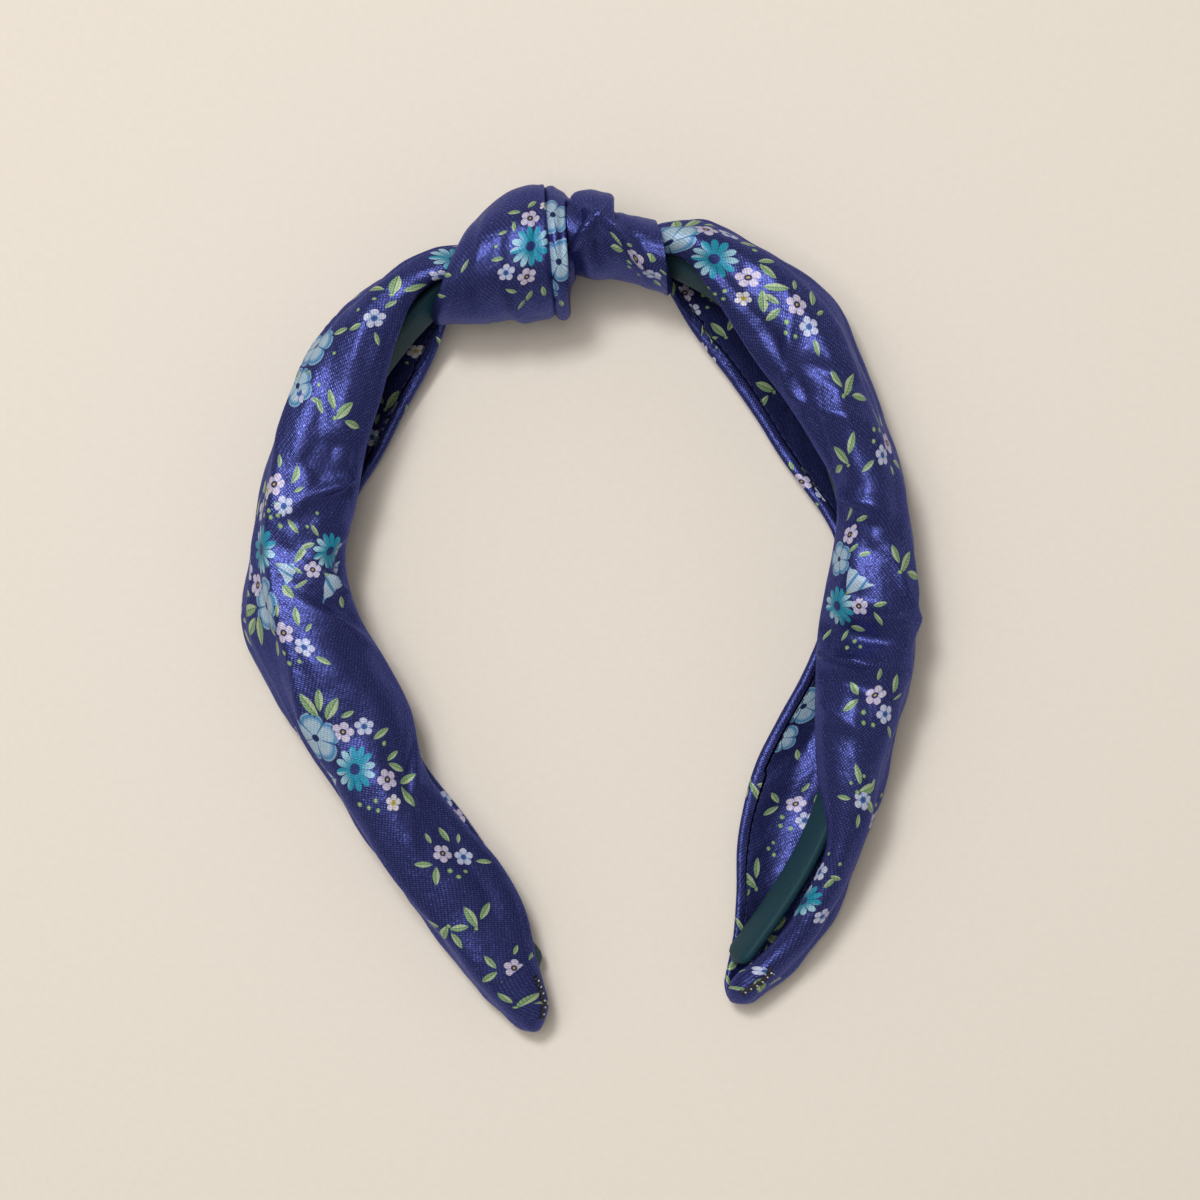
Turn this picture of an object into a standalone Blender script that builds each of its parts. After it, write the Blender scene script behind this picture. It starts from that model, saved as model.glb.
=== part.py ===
"""A knotted satin headband, laid on its side as on a table top.

A ribbon-wrapped plastic hoop runs from tip to tip. A flattened satin sleeve lies along each arm as
an open channel, with the hoop inside it, and the two sleeves are tied in a knot over the crown.
The arms spring open at the knot, so the hoop and its ribbon are parted there, inside the knot.

Frame: metres, +Z up from the table, +Y towards the knot, +X towards the right arm. The origin is
on the table, at the middle of the headband's outline.
"""

import math

import bmesh
import bpy
import numpy as np

MM = 0.001

# The hoop's centreline seen from above, from the left tip over the crown to the right tip.
HOOP_MM = (
    (-8.9, -77.2), (-23.5, -58.5), (-39.0, -38.4), (-51.7, -14.0), (-56.0, 11.5), (-50.7, 37.0),
    (-36.9, 58.6), (-20.0, 72.6), (-2.0, 77.2), (16.0, 74.4), (34.2, 64.1), (48.0, 46.5),
    (57.0, 25.0), (60.3, 0.0), (57.1, -26.7), (50.8, -47.9), (33.1, -75.9),
)
HOOP_SAMPLES = 1200
LEFT_PIVOT_X_MM, RIGHT_PIVOT_X_MM = -25.0, 17.0

# The wrapped hoop: a flat plastic strip, leaning so that its inner face also looks up.
CORE_WIDTH_MM, CORE_THICK_MM = 6.4, 1.2
RIBBON_WIDTH_MM, RIBBON_THICK_MM = 8.4, 3.0
RIBBON_WALL_MM = 0.5
LEAN_DEG = 28.0
CROWN_HEIGHT_MM, MIDDLE_HEIGHT_MM, TIP_HEIGHT_MM = 20.5, 15.0, 8.6
CORE_HINGE_GAP_MM, RIBBON_HINGE_GAP_MM = 1.0, 1.5
RIBBON_END_MM = 0.5
CORNER_SHARE = 0.3

# A sleeve is two panels of satin, seamed along both edges and left hollow.
PANEL_THICK_MM, PANEL_OFFSET_MM = 0.8, 0.9
SEAM_RADIUS_MM, SEAM_CLEAR_MM = 0.5, 0.35
PANEL_START_MM, SLEEVE_END_CLEAR_MM = 0.5, 0.6
SLEEVE_STEP_MM = 9.0
PANEL_POINTS = 17
TABLE_PRESS_MM = 0.25

# Sleeve sections, in mm, r outwards from the hoop's centreline and z from the table:
# along, upper edge r, z, ridge r, top z, outer r, z, bottom z, lower edge r, z.
# A bottom below the table is flattened on it.
LEFT_SLEEVE = (
    (0.5, 1.5, 26.5, 3.4, 28.0, 5.8, 21, 12.0, -0.5, 14.5),
    (6, 2.6, 28.5, 5.6, 30.5, 9.0, 20, 10.5, -1.5, 13.5),
    (10, 2.4, 29.0, 6.4, 31.2, 10.4, 20, 7.5, -0.6, 13.4),
    (17, 1.5, 29.5, 7.6, 32.5, 13.0, 19, 3.0, -6.5, 8.0),
    (30, -5.0, 28.0, 8.0, 33.0, 13.8, 17, 0.3, -8.8, 6.0),
    (43, -6.6, 26.0, 7.0, 33.0, 12.6, 16, -1.2, -9.4, 6.0),
    (56, -8.0, 21.0, 7.6, 32.0, 13.2, 15, -1.2, -6.0, 6.0),
    (69, -7.0, 20.0, 9.5, 31.0, 14.3, 14, -1.2, -5.0, 6.5),
    (82, -9.2, 20.0, 10.5, 31.0, 16.4, 13, -1.2, -5.0, 6.0),
    (95, -12.3, 19.0, 9.0, 30.0, 14.0, 12, -1.2, -6.0, 5.5),
    (108, -12.8, 18.5, 6.0, 28.0, 10.6, 11, -1.2, -8.0, 5.0),
    (122, -8.5, 18.5, 6.0, 26.5, 10.2, 10, -1.2, -11.0, 5.0),
    (135, -7.5, 17.5, 6.5, 24.0, 10.5, 9, -1.2, -10.0, 5.0),
    (148, -8.5, 15.5, 7.5, 21.0, 11.2, 8.5, -0.2, -8.5, 4.6),
    (160, -6.0, 15.5, 8.5, 19.0, 12.0, 8.5, 0.2, -6.0, 4.6),
    (166, -5.0, 15.0, 8.0, 18.0, 11.2, 8.5, 0.6, -5.0, 4.6),
)
RIGHT_SLEEVE = (
    (0.5, 1.5, 26.5, 3.4, 28, 5.8, 21, 12, -0.5, 14.5),
    (5, 1.8, 28.5, 4.8, 30, 7.4, 20, 9.5, -0.2, 14),
    (12, 0, 30, 6.7, 32.5, 10.1, 20, 5, -7.6, 9),
    (20, -2.8, 29, 8.2, 33, 12.4, 18, 2, -10.2, 6.5),
    (31, -5.5, 28, 9.7, 33, 14.7, 17, 0, -10.4, 5.5),
    (43, -6, 27, 7.7, 33, 12.2, 16, -1.2, -10.2, 5),
    (54, -3.8, 26, 7.2, 32, 11.7, 15, -1.2, -10, 5),
    (65, -3.6, 23.5, 7.2, 31.5, 10.9, 14, -1.2, -7.4, 6),
    (76, -6, 21, 7.2, 31, 10.4, 14, -1.2, -5, 6.5),
    (86, -8.8, 20.5, 7.2, 31, 10.7, 13, -1.2, -5.5, 6),
    (97, -10, 21, 6.7, 30, 10.2, 13, -1.2, -8, 5.5),
    (108, -9, 22, 6.2, 30, 9.5, 12, -1.2, -12.2, 5),
    (118, -7.2, 22, 5.2, 29, 8.9, 12, -1.2, -16, 4.6),
    (129, -4, 22.5, 4.7, 27.5, 8.3, 11, -1.2, -16.6, 4.4),
    (141, 1.6, 21.5, 5.2, 24.5, 8.3, 10, -0.2, -13.6, 4.4),
    (152, 3.2, 18, 6.2, 20.5, 9.7, 9, 0, -9.3, 4.4),
    (164, 4.8, 16, 7.2, 18, 10.3, 9, 0.3, -6, 4.4),
    (168, 5, 15.5, 7, 17.4, 9.9, 9, 0.6, -5.2, 4.4),
)

# Each tip of the sleeve is sewn shut round the hoop's end, as a cup.
POCKET_WALL_MM = 0.9
POCKET_RING_POINTS = 20
LEFT_POCKET = dict(start=167.6, end=183.4, centre=2.6, half_wide=8.0, height=9.8, half_high=8.4)
RIGHT_POCKET = dict(start=170.4, end=181.5, centre=2.2, half_wide=7.4, height=9.4, half_high=8.0)
OVERLOCK_RADIUS_MM, OVERLOCK_CLEAR_MM = 0.6, 0.35
OVERLOCK_POINTS, OVERLOCK_FROM_DEG, OVERLOCK_TO_DEG = 18, -100.0, 80.0

# The knot's three wraps. Each edge is (x, lean in x), and each section (y, half y, z, half z).
WRAP_POINTS, WRAP_SECTIONS = 28, 7
LEFT_LOBE = dict(
    edges=((-24.1, 7.4), (-7.2, -0.6)),
    outside=((71.2, 13.2, 21.0, 17.6), (75.2, 14.8, 20.8, 22.4), (76.2, 12.4, 20.8, 21.4)),
    bore=((71.2, 12.3, 20.8, 16.8), (73.6, 9.6, 20.5, 13.0), (76.6, 5.0, 20.5, 7.0)),
)
CENTRE_PLEAT = dict(
    edges=((-6.6, -0.6), (-2.3, -0.6)),
    outside=((75.6, 11.4, 21.0, 18.0), (75.4, 12.8, 21.0, 19.2), (75.8, 11.2, 21.0, 18.0)),
    bore=((76.8, 5.0, 20.5, 7.0), (77.0, 5.0, 20.5, 7.0), (77.1, 5.0, 20.5, 7.0)),
)
RIGHT_LOBE = dict(
    edges=((-1.7, -0.6), (19.9, -1.2)),
    outside=((78.0, 9.6, 21.0, 18.4), (77.6, 10.8, 21.0, 20.4), (74.4, 10.2, 20.5, 16.4)),
    bore=((77.1, 5.0, 20.5, 7.0), (76.2, 6.4, 20.5, 10.5), (74.2, 9.3, 20.5, 15.4)),
)

# Glue that holds the sleeves to the ribbon: one pad at the crown, one inside each pocket.
GLUE_WIDE_MM, GLUE_THICK_MM, GLUE_CLEAR_MM, GLUE_LONG_MM = 5.0, 0.7, 0.35, 6.0
CROWN_GLUE_X_MM, TIP_GLUE_BACK_MM = -4.4, 9.0

SATIN, LINING, KNOT_SATIN = (0.035, 0.04, 0.22), (0.03, 0.035, 0.19), (0.04, 0.045, 0.24)
TEAL, PLASTIC = (0.02, 0.09, 0.12), (0.6, 0.6, 0.58)
THREAD, SEAM_THREAD, GLUE = (0.02, 0.02, 0.03), (0.05, 0.05, 0.2), (0.75, 0.7, 0.55)


def curve_through(points, count):
    """Points spread evenly along a natural cubic spline through the given ones."""
    points = np.array(points, float)
    knots = np.concatenate([[0], np.cumsum(np.linalg.norm(np.diff(points, axis=0), axis=1))])
    gap = np.diff(knots)
    size = len(points)
    system, right = np.eye(size), np.zeros((size, points.shape[1]))
    for i in range(1, size - 1):
        system[i, i - 1 : i + 2] = gap[i - 1], 2 * (gap[i - 1] + gap[i]), gap[i]
        slopes = (points[i + 1] - points[i]) / gap[i] - (points[i] - points[i - 1]) / gap[i - 1]
        right[i] = 6 * slopes
    bend = np.linalg.solve(system, right)
    at = np.linspace(0, knots[-1], max(count * 4, 200))
    i = np.clip(np.searchsorted(knots, at, side="right") - 1, 0, size - 2)
    a, b, h = (knots[i + 1] - at)[:, None], (at - knots[i])[:, None], gap[i][:, None]
    line = (bend[i] * a**3 + bend[i + 1] * b**3) / (6 * h)
    line += (points[i] / h - bend[i] * h / 6) * a + (points[i + 1] / h - bend[i + 1] * h / 6) * b
    along = np.concatenate([[0], np.cumsum(np.linalg.norm(np.diff(line, axis=0), axis=1))])
    even = np.linspace(0, along[-1], count)
    return np.stack([np.interp(even, along, line[:, k]) for k in range(line.shape[1])], axis=1)


def eased(at, rows):
    """The table's columns at one place along it, with slopes that run on from row to row."""
    rows = np.array(rows, float)
    place, values = rows[:, 0], rows[:, 1:]
    slopes = np.gradient(values, place, axis=0)
    at = min(max(at, place[0]), place[-1])
    i = min(int(np.searchsorted(place, at, side="right")) - 1, len(place) - 2)
    gap = place[i + 1] - place[i]
    t = (at - place[i]) / gap
    start, end = values[i], values[i + 1]
    lead, trail = slopes[i] * gap, slopes[i + 1] * gap
    return (
        (2 * t**3 - 3 * t**2 + 1) * start + (t**3 - 2 * t**2 + t) * lead
        + (3 * t**2 - 2 * t**3) * end + (t**3 - t**2) * trail
    )


HOOP = curve_through(HOOP_MM, HOOP_SAMPLES)
HOOP_ALONG = np.concatenate([[0], np.cumsum(np.linalg.norm(np.diff(HOOP, axis=0), axis=1))])


def along_at_crown(x_mm):
    """How far along the hoop the crown passes this x."""
    crown = (HOOP[:, 1] > 0).nonzero()[0]
    return float(np.interp(x_mm, HOOP[crown, 0], HOOP_ALONG[crown]))


LEFT_PIVOT = along_at_crown(LEFT_PIVOT_X_MM)
RIGHT_PIVOT = along_at_crown(RIGHT_PIVOT_X_MM)
ARM_LENGTH = {"left": LEFT_PIVOT, "right": HOOP_ALONG[-1] - RIGHT_PIVOT}


def hoop_frame(along):
    """(plan point, direction, outward direction) of the hoop, run on straight past its ends."""
    inside = min(max(along, 0.5), HOOP_ALONG[-1] - 0.5)
    point = np.array([np.interp(inside, HOOP_ALONG, HOOP[:, k]) for k in range(2)])
    ahead = np.array([np.interp(inside + 0.5, HOOP_ALONG, HOOP[:, k]) for k in range(2)])
    behind = np.array([np.interp(inside - 0.5, HOOP_ALONG, HOOP[:, k]) for k in range(2)])
    direction = (ahead - behind) / np.linalg.norm(ahead - behind)
    outward = np.array([-direction[1], direction[0]])
    return point + (along - inside) * direction, direction, outward


def arm_along(side, distance):
    """The hoop's own measure at a distance down an arm from its pivot."""
    return LEFT_PIVOT - distance if side == "left" else RIGHT_PIVOT + distance


def hoop_height(along):
    """The centreline's height: highest at the crown, lowest at the tips."""
    span = HOOP_ALONG[-1]
    rows = ((0, TIP_HEIGHT_MM), (span * 0.3, MIDDLE_HEIGHT_MM), (LEFT_PIVOT, CROWN_HEIGHT_MM),
            (RIGHT_PIVOT, CROWN_HEIGHT_MM), (span * 0.72, MIDDLE_HEIGHT_MM), (span, TIP_HEIGHT_MM))
    return float(eased(along, rows)[0])


def placed(along, section):
    """Section points (r, z) in mm, set square across the hoop, as points in metres."""
    point, _, outward = hoop_frame(along)
    section = np.asarray(section, float)
    plan = point + section[:, :1] * outward
    height = np.maximum(section[:, 1:], 0)
    return np.hstack([plan, height]) * MM


def loft(name, rings, colour, roughness, ring_of_rings=False):
    """One closed body through rings of points. Its ends are capped, or joined as a ring of rings."""
    mesh = bmesh.new()
    rows = [[mesh.verts.new(tuple(p)) for p in ring] for ring in rings]
    around = len(rows[0])
    pairs = list(zip(rows, rows[1:]))
    if ring_of_rings:
        pairs.append((rows[-1], rows[0]))
    for one, two in pairs:
        for k in range(around):
            n = (k + 1) % around
            mesh.faces.new((one[k], one[n], two[n], two[k]))
    if not ring_of_rings:
        mesh.faces.new(rows[0][::-1])
        mesh.faces.new(rows[-1])
    bmesh.ops.remove_doubles(mesh, verts=mesh.verts, dist=1e-7)
    bmesh.ops.recalc_face_normals(mesh, faces=mesh.faces)
    if mesh.calc_volume(signed=True) < 0:
        bmesh.ops.reverse_faces(mesh, faces=mesh.faces)
    data = bpy.data.meshes.new(name)
    mesh.to_mesh(data)
    mesh.free()
    data.shade_smooth()
    data.set_sharp_from_angle(angle=math.radians(40))
    data.materials.append(material(name, colour, roughness))
    made = bpy.data.objects.new(name, data)
    bpy.context.scene.collection.objects.link(made)
    return made


def material(name, colour, roughness):
    made = bpy.data.materials.new(name)
    made.use_nodes = True
    shader = made.node_tree.nodes["Principled BSDF"]
    shader.inputs["Base Color"].default_value = (*colour, 1)
    shader.inputs["Roughness"].default_value = roughness
    return made


# ---- the wrapped hoop ----


def strip_section(along, width, thick, chamfer=True):
    """The leaning strip's outline (r, z) round the hoop's centreline."""
    half_wide, half_thick = width / 2, thick / 2
    cut = CORNER_SHARE * thick if chamfer else 0
    corners = []
    for sign_w, sign_t in ((1, 1), (-1, 1), (-1, -1), (1, -1)):
        pair = [(half_wide - cut, half_thick), (half_wide, half_thick - cut)]
        if sign_w * sign_t > 0:
            pair.reverse()
        for w, t in pair if chamfer else pair[:1]:
            corners.append((sign_w * w, sign_t * t))
    lean = math.radians(LEAN_DEG)
    height = hoop_height(along)
    return [
        (w * math.sin(lean) + t * math.cos(lean), height + w * math.cos(lean) - t * math.sin(lean))
        for w, t in corners
    ]


def steps(start, end, step):
    return np.linspace(start, end, max(2, round(abs(end - start) / step) + 1))


def add_core(name, start, end):
    rings = [
        placed(a, strip_section(a, CORE_WIDTH_MM, CORE_THICK_MM, chamfer=False))
        for a in steps(start, end, SLEEVE_STEP_MM)
    ]
    return loft(name, rings, PLASTIC, 0.4)


def add_ribbon(name, start, end, closed_end):
    """The ribbon's sleeve round the core: open at both ends, or folded over at a tip."""
    away = 1 if end > start else -1
    inside_end = end - away * RIBBON_END_MM if closed_end else end
    wide, thick = RIBBON_WIDTH_MM - 2 * RIBBON_WALL_MM, RIBBON_THICK_MM - 2 * RIBBON_WALL_MM
    outside = [
        placed(a, strip_section(a, RIBBON_WIDTH_MM, RIBBON_THICK_MM))
        for a in steps(start, end, SLEEVE_STEP_MM)
    ]
    inside = [
        placed(a, strip_section(a, wide, thick)) for a in steps(inside_end, start, SLEEVE_STEP_MM)
    ]
    if closed_end:
        rings = inside + outside
        return loft(name, rings, TEAL, 0.55)
    return loft(name, outside + inside, TEAL, 0.55, ring_of_rings=True)


def add_hoop():
    for kind, gap in (("core", CORE_HINGE_GAP_MM), ("ribbon", RIBBON_HINGE_GAP_MM)):
        tip_gap = RIBBON_END_MM * 2 if kind == "core" else 0
        spans = {
            "left": (LEFT_PIVOT - gap, tip_gap),
            "crown": (LEFT_PIVOT + gap, RIGHT_PIVOT - gap),
            "right": (RIGHT_PIVOT + gap, HOOP_ALONG[-1] - tip_gap),
        }
        for place, (start, end) in spans.items():
            if kind == "core":
                add_core(f"{place}_band_core", start, end)
            else:
                add_ribbon(f"{place}_ribbon_wrap", start, end, closed_end=place != "crown")


# ---- the sleeves ----


def sleeve_line(row, count):
    """The sleeve's section as a smooth line from its upper edge, over the outside, to its lower."""
    upper_r, upper_z, ridge_r, top_z, outer_r, outer_z, bottom_z, lower_r, lower_z = row
    inset = PANEL_OFFSET_MM + PANEL_THICK_MM / 2
    top_z, outer_r, bottom_z = top_z - inset, outer_r - inset, bottom_z + inset
    high = top_z - bottom_z
    points = [
        (upper_r, upper_z),
        (0.5 * (upper_r + ridge_r), top_z - 0.02 * high),
        (ridge_r, top_z - 0.07 * high),
        (outer_r, outer_z),
        (outer_r - 0.2 * (outer_r - lower_r), bottom_z + 0.14 * high),
        (0.5 * (outer_r + lower_r), bottom_z),
        (lower_r, lower_z),
    ]
    line = curve_through(points, count)
    line[:, 1] = np.maximum(line[:, 1], inset - TABLE_PRESS_MM)
    return line


def offset_line(line, by):
    """The line moved sideways, away from the channel's inside for a positive distance."""
    ahead = np.gradient(line, axis=0)
    ahead /= np.linalg.norm(ahead, axis=1)[:, None]
    return line + by * np.stack([-ahead[:, 1], ahead[:, 0]], axis=1)


def panel_ring(line, middle, thick):
    return np.vstack([offset_line(line, middle + thick / 2),
                      offset_line(line, middle - thick / 2)[::-1]])


def add_sleeve(side, table):
    end = table[-1][0]
    places = steps(PANEL_START_MM, end, SLEEVE_STEP_MM)
    lines = [sleeve_line(eased(p, table), PANEL_POINTS) for p in places]
    marks = [arm_along(side, p) for p in places]
    for panel, middle, colour in (("outer", PANEL_OFFSET_MM, SATIN),
                                  ("inner", -PANEL_OFFSET_MM, LINING)):
        rings = [
            placed(m, panel_ring(line, middle, PANEL_THICK_MM)) for m, line in zip(marks, lines)
        ]
        loft(f"{side}_sleeve_{panel}_panel", rings, colour, 0.35)
    for edge, first, second in (("upper", 0, 1), ("lower", -1, -2)):
        rings = []
        for m, line in zip(marks, lines):
            out = line[first] - line[second]
            out /= np.linalg.norm(out)
            centre = line[first] + out * (SEAM_RADIUS_MM + SEAM_CLEAR_MM)
            turns = np.arange(6) * math.tau / 6
            circle = np.stack([np.cos(turns), np.sin(turns)], axis=1) * SEAM_RADIUS_MM
            rings.append(placed(m, centre + circle))
        loft(f"{side}_sleeve_{edge}_seam", rings, SEAM_THREAD, 0.6)


def pocket_section(shape, shrink, inset):
    """One ring of a tip's cup, smaller by a share and by a wall."""
    turns = np.arange(POCKET_RING_POINTS) * math.tau / POCKET_RING_POINTS
    wide = shape["half_wide"] * shrink - inset
    high = shape["half_high"] * shrink - inset
    return np.stack([shape["centre"] + wide * np.cos(turns),
                     shape["height"] + high * np.sin(turns)], axis=1)


def add_pocket(side, shape):
    """The cup, and the overlock thread along its seam, which runs over the tip's end."""
    long = shape["end"] - shape["start"]
    shares = np.sin(np.linspace(0, 0.46 * math.pi, 7))
    outside, inside = [], []
    for share in shares:
        shrink = math.sqrt(1 - share**2)
        mark = arm_along(side, shape["start"] + share * long)
        outside.append(placed(mark, pocket_section(shape, shrink, 0)))
        if shrink * shape["half_high"] > 2.6 * POCKET_WALL_MM:
            inner_mark = arm_along(side, shape["start"] + share * (long - POCKET_WALL_MM))
            inside.append(placed(inner_mark, pocket_section(shape, shrink, POCKET_WALL_MM)))
    loft(f"{side}_tip_pocket", inside[::-1] + outside, SATIN, 0.35)

    def seam_point(turn):
        reach = OVERLOCK_CLEAR_MM + OVERLOCK_RADIUS_MM
        far = shape["start"] + math.cos(turn) * (long + reach)
        high = shape["height"] + math.sin(turn) * (shape["half_high"] + reach)
        point, _, outward = hoop_frame(arm_along(side, far))
        return np.array([*(point + shape["centre"] * outward), high]) * MM

    turns = np.radians(np.linspace(OVERLOCK_FROM_DEG + 30, OVERLOCK_TO_DEG, OVERLOCK_POINTS))
    turns = turns[np.cos(turns) > 0.12]
    _, _, outward = hoop_frame(arm_along(side, shape["end"]))
    sideways = np.array([*outward, 0])
    rings = []
    for turn in turns:
        centre, nearby = seam_point(turn), seam_point(turn + 0.02)
        ahead = (nearby - centre) / np.linalg.norm(nearby - centre)
        up = np.cross(sideways, ahead)
        spin = np.arange(6) * math.tau / 6
        rings.append([
            centre + (math.cos(a) * sideways + math.sin(a) * up) * OVERLOCK_RADIUS_MM * MM
            for a in spin
        ])
    loft(f"{side}_tip_overlock_thread", rings, THREAD, 0.7)


# ---- the knot ----


def wrap_ring(edges, sections, across):
    """One ring of a wrap, at a share of the way across it. Cosine 1 is the hoop's outside."""
    turns = np.arange(WRAP_POINTS) * math.tau / WRAP_POINTS
    (x0, lean0), (x1, lean1) = edges
    rows = [(share, *row) for share, row in zip((0, 0.5, 1), sections)]
    y, half_y, z, half_z = eased(across, rows)
    x = (x0 + lean0 * np.cos(turns)) * (1 - across) + (x1 + lean1 * np.cos(turns)) * across
    height = np.maximum(z + half_z * np.sin(turns), 0)
    return np.stack([x, y + half_y * np.cos(turns), height], axis=1) * MM


def add_wrap(name, edges, outside, bore):
    shares = np.linspace(0, 1, WRAP_SECTIONS)
    rings = [wrap_ring(edges, outside, s) for s in shares]
    rings += [wrap_ring(edges, bore, s) for s in shares[::-1]]
    loft(name, rings, KNOT_SATIN, 0.35, ring_of_rings=True)


# ---- glue ----


def add_glue(name, along):
    """A thin pad on the ribbon's outer face."""
    lean = math.radians(LEAN_DEG)
    near = RIBBON_THICK_MM / 2 + GLUE_CLEAR_MM
    rings = []
    for a in steps(along - GLUE_LONG_MM / 2, along + GLUE_LONG_MM / 2, GLUE_LONG_MM / 2):
        height = hoop_height(a)
        corners = [(-GLUE_WIDE_MM / 2, near), (GLUE_WIDE_MM / 2, near),
                   (GLUE_WIDE_MM / 2, near + GLUE_THICK_MM), (-GLUE_WIDE_MM / 2, near + GLUE_THICK_MM)]
        rings.append(placed(a, [
            (w * math.sin(lean) + t * math.cos(lean),
             height + w * math.cos(lean) - t * math.sin(lean)) for w, t in corners
        ]))
    loft(name, rings, GLUE, 0.5)


def main():
    for old in list(bpy.data.objects):
        bpy.data.objects.remove(old)
    add_hoop()
    add_sleeve("left", LEFT_SLEEVE)
    add_sleeve("right", RIGHT_SLEEVE)
    add_pocket("left", LEFT_POCKET)
    add_pocket("right", RIGHT_POCKET)
    add_wrap("knot_left_lobe", **LEFT_LOBE)
    add_wrap("knot_centre_pleat", **CENTRE_PLEAT)
    add_wrap("knot_right_lobe", **RIGHT_LOBE)
    add_glue("crown_glue_pad", along_at_crown(CROWN_GLUE_X_MM))
    add_glue("left_tip_glue_pad", TIP_GLUE_BACK_MM)
    add_glue("right_tip_glue_pad", HOOP_ALONG[-1] - TIP_GLUE_BACK_MM)


main()
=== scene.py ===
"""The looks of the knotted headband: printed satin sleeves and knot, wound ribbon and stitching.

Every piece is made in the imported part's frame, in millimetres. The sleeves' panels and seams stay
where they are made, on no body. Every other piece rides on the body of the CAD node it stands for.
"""

import math

import bpy
import numpy as np
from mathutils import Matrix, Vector, noise


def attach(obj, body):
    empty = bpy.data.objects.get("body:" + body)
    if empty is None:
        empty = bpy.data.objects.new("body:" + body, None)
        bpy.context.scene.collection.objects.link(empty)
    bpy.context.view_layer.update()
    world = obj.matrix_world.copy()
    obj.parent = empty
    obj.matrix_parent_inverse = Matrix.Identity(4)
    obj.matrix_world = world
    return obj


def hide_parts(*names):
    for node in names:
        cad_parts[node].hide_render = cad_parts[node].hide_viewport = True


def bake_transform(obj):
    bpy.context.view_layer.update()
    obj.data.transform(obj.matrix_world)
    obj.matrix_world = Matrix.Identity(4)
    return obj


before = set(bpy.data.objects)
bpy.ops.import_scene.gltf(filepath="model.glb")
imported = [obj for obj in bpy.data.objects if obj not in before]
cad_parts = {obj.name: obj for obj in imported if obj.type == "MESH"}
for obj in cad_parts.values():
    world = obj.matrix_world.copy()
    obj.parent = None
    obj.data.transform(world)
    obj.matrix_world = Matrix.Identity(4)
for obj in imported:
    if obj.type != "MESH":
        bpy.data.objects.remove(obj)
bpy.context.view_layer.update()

MM = 0.001

# ---- sizes, in mm ----

HOOP = (
    (-8.9, -77.2), (-23.5, -58.5), (-39, -38.4), (-51.7, -14), (-56, 11.5), (-50.7, 37),
    (-36.9, 58.6), (-20, 72.6), (-2, 77.2), (16, 74.4), (34.2, 64.1), (48, 46.5),
    (57, 25), (60.3, 0), (57.1, -26.7), (50.8, -47.9), (33.1, -75.9),
)
LEFT_PIVOT_X, RIGHT_PIVOT_X = -25, 17
CROWN_HEIGHT, MIDDLE_HEIGHT, TIP_HEIGHT = 20.5, 15, 8.6
LEAN = math.radians(28)
# The wrapped hoop's section, the way round it, and the length over which an end is rounded.
RIBBON_WIDE, RIBBON_THICK, RIBBON_GIRTH, END_ROUND = 8.4, 2.8, 22, 3.0
SATIN_THICK = 0.35
# The satin's diagonal lines, and the floats along them.
TWILL, FLOAT_LONG = 0.46, 0.7
# Between a hinge and the ribbon's end.
HALF_GAP = 1.5
# How far the hidden strips stop short of a hinge and of a tip, and their share of the ribbon's
# section.
CORE_START, CORE_SHORT, CORE_SHARE = 1.8, 2.4, 0.7
# From the hoop's end to the middle of a glue bead.
GLUE_BACK = 9.0
# Between the points of a seam's stitches, and between a black stitch and the pale one after it.
SEAM_STEP, STITCH_STEP = 0.45, 0.7
# Where along an arm the sleeve stops keeping still with the knot, and where it turns in full.
# cup, rows across and points round a wrap, and points round the ribbon.
LINE_POINTS, OUTER_POINTS, INNER_POINTS = 84, 112, 64
SLEEVE_ROWS, CUP_ROWS = 230, 26
WRAP_ROWS, WRAP_AROUND, RIBBON_AROUND = 44, 150, 28

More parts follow.
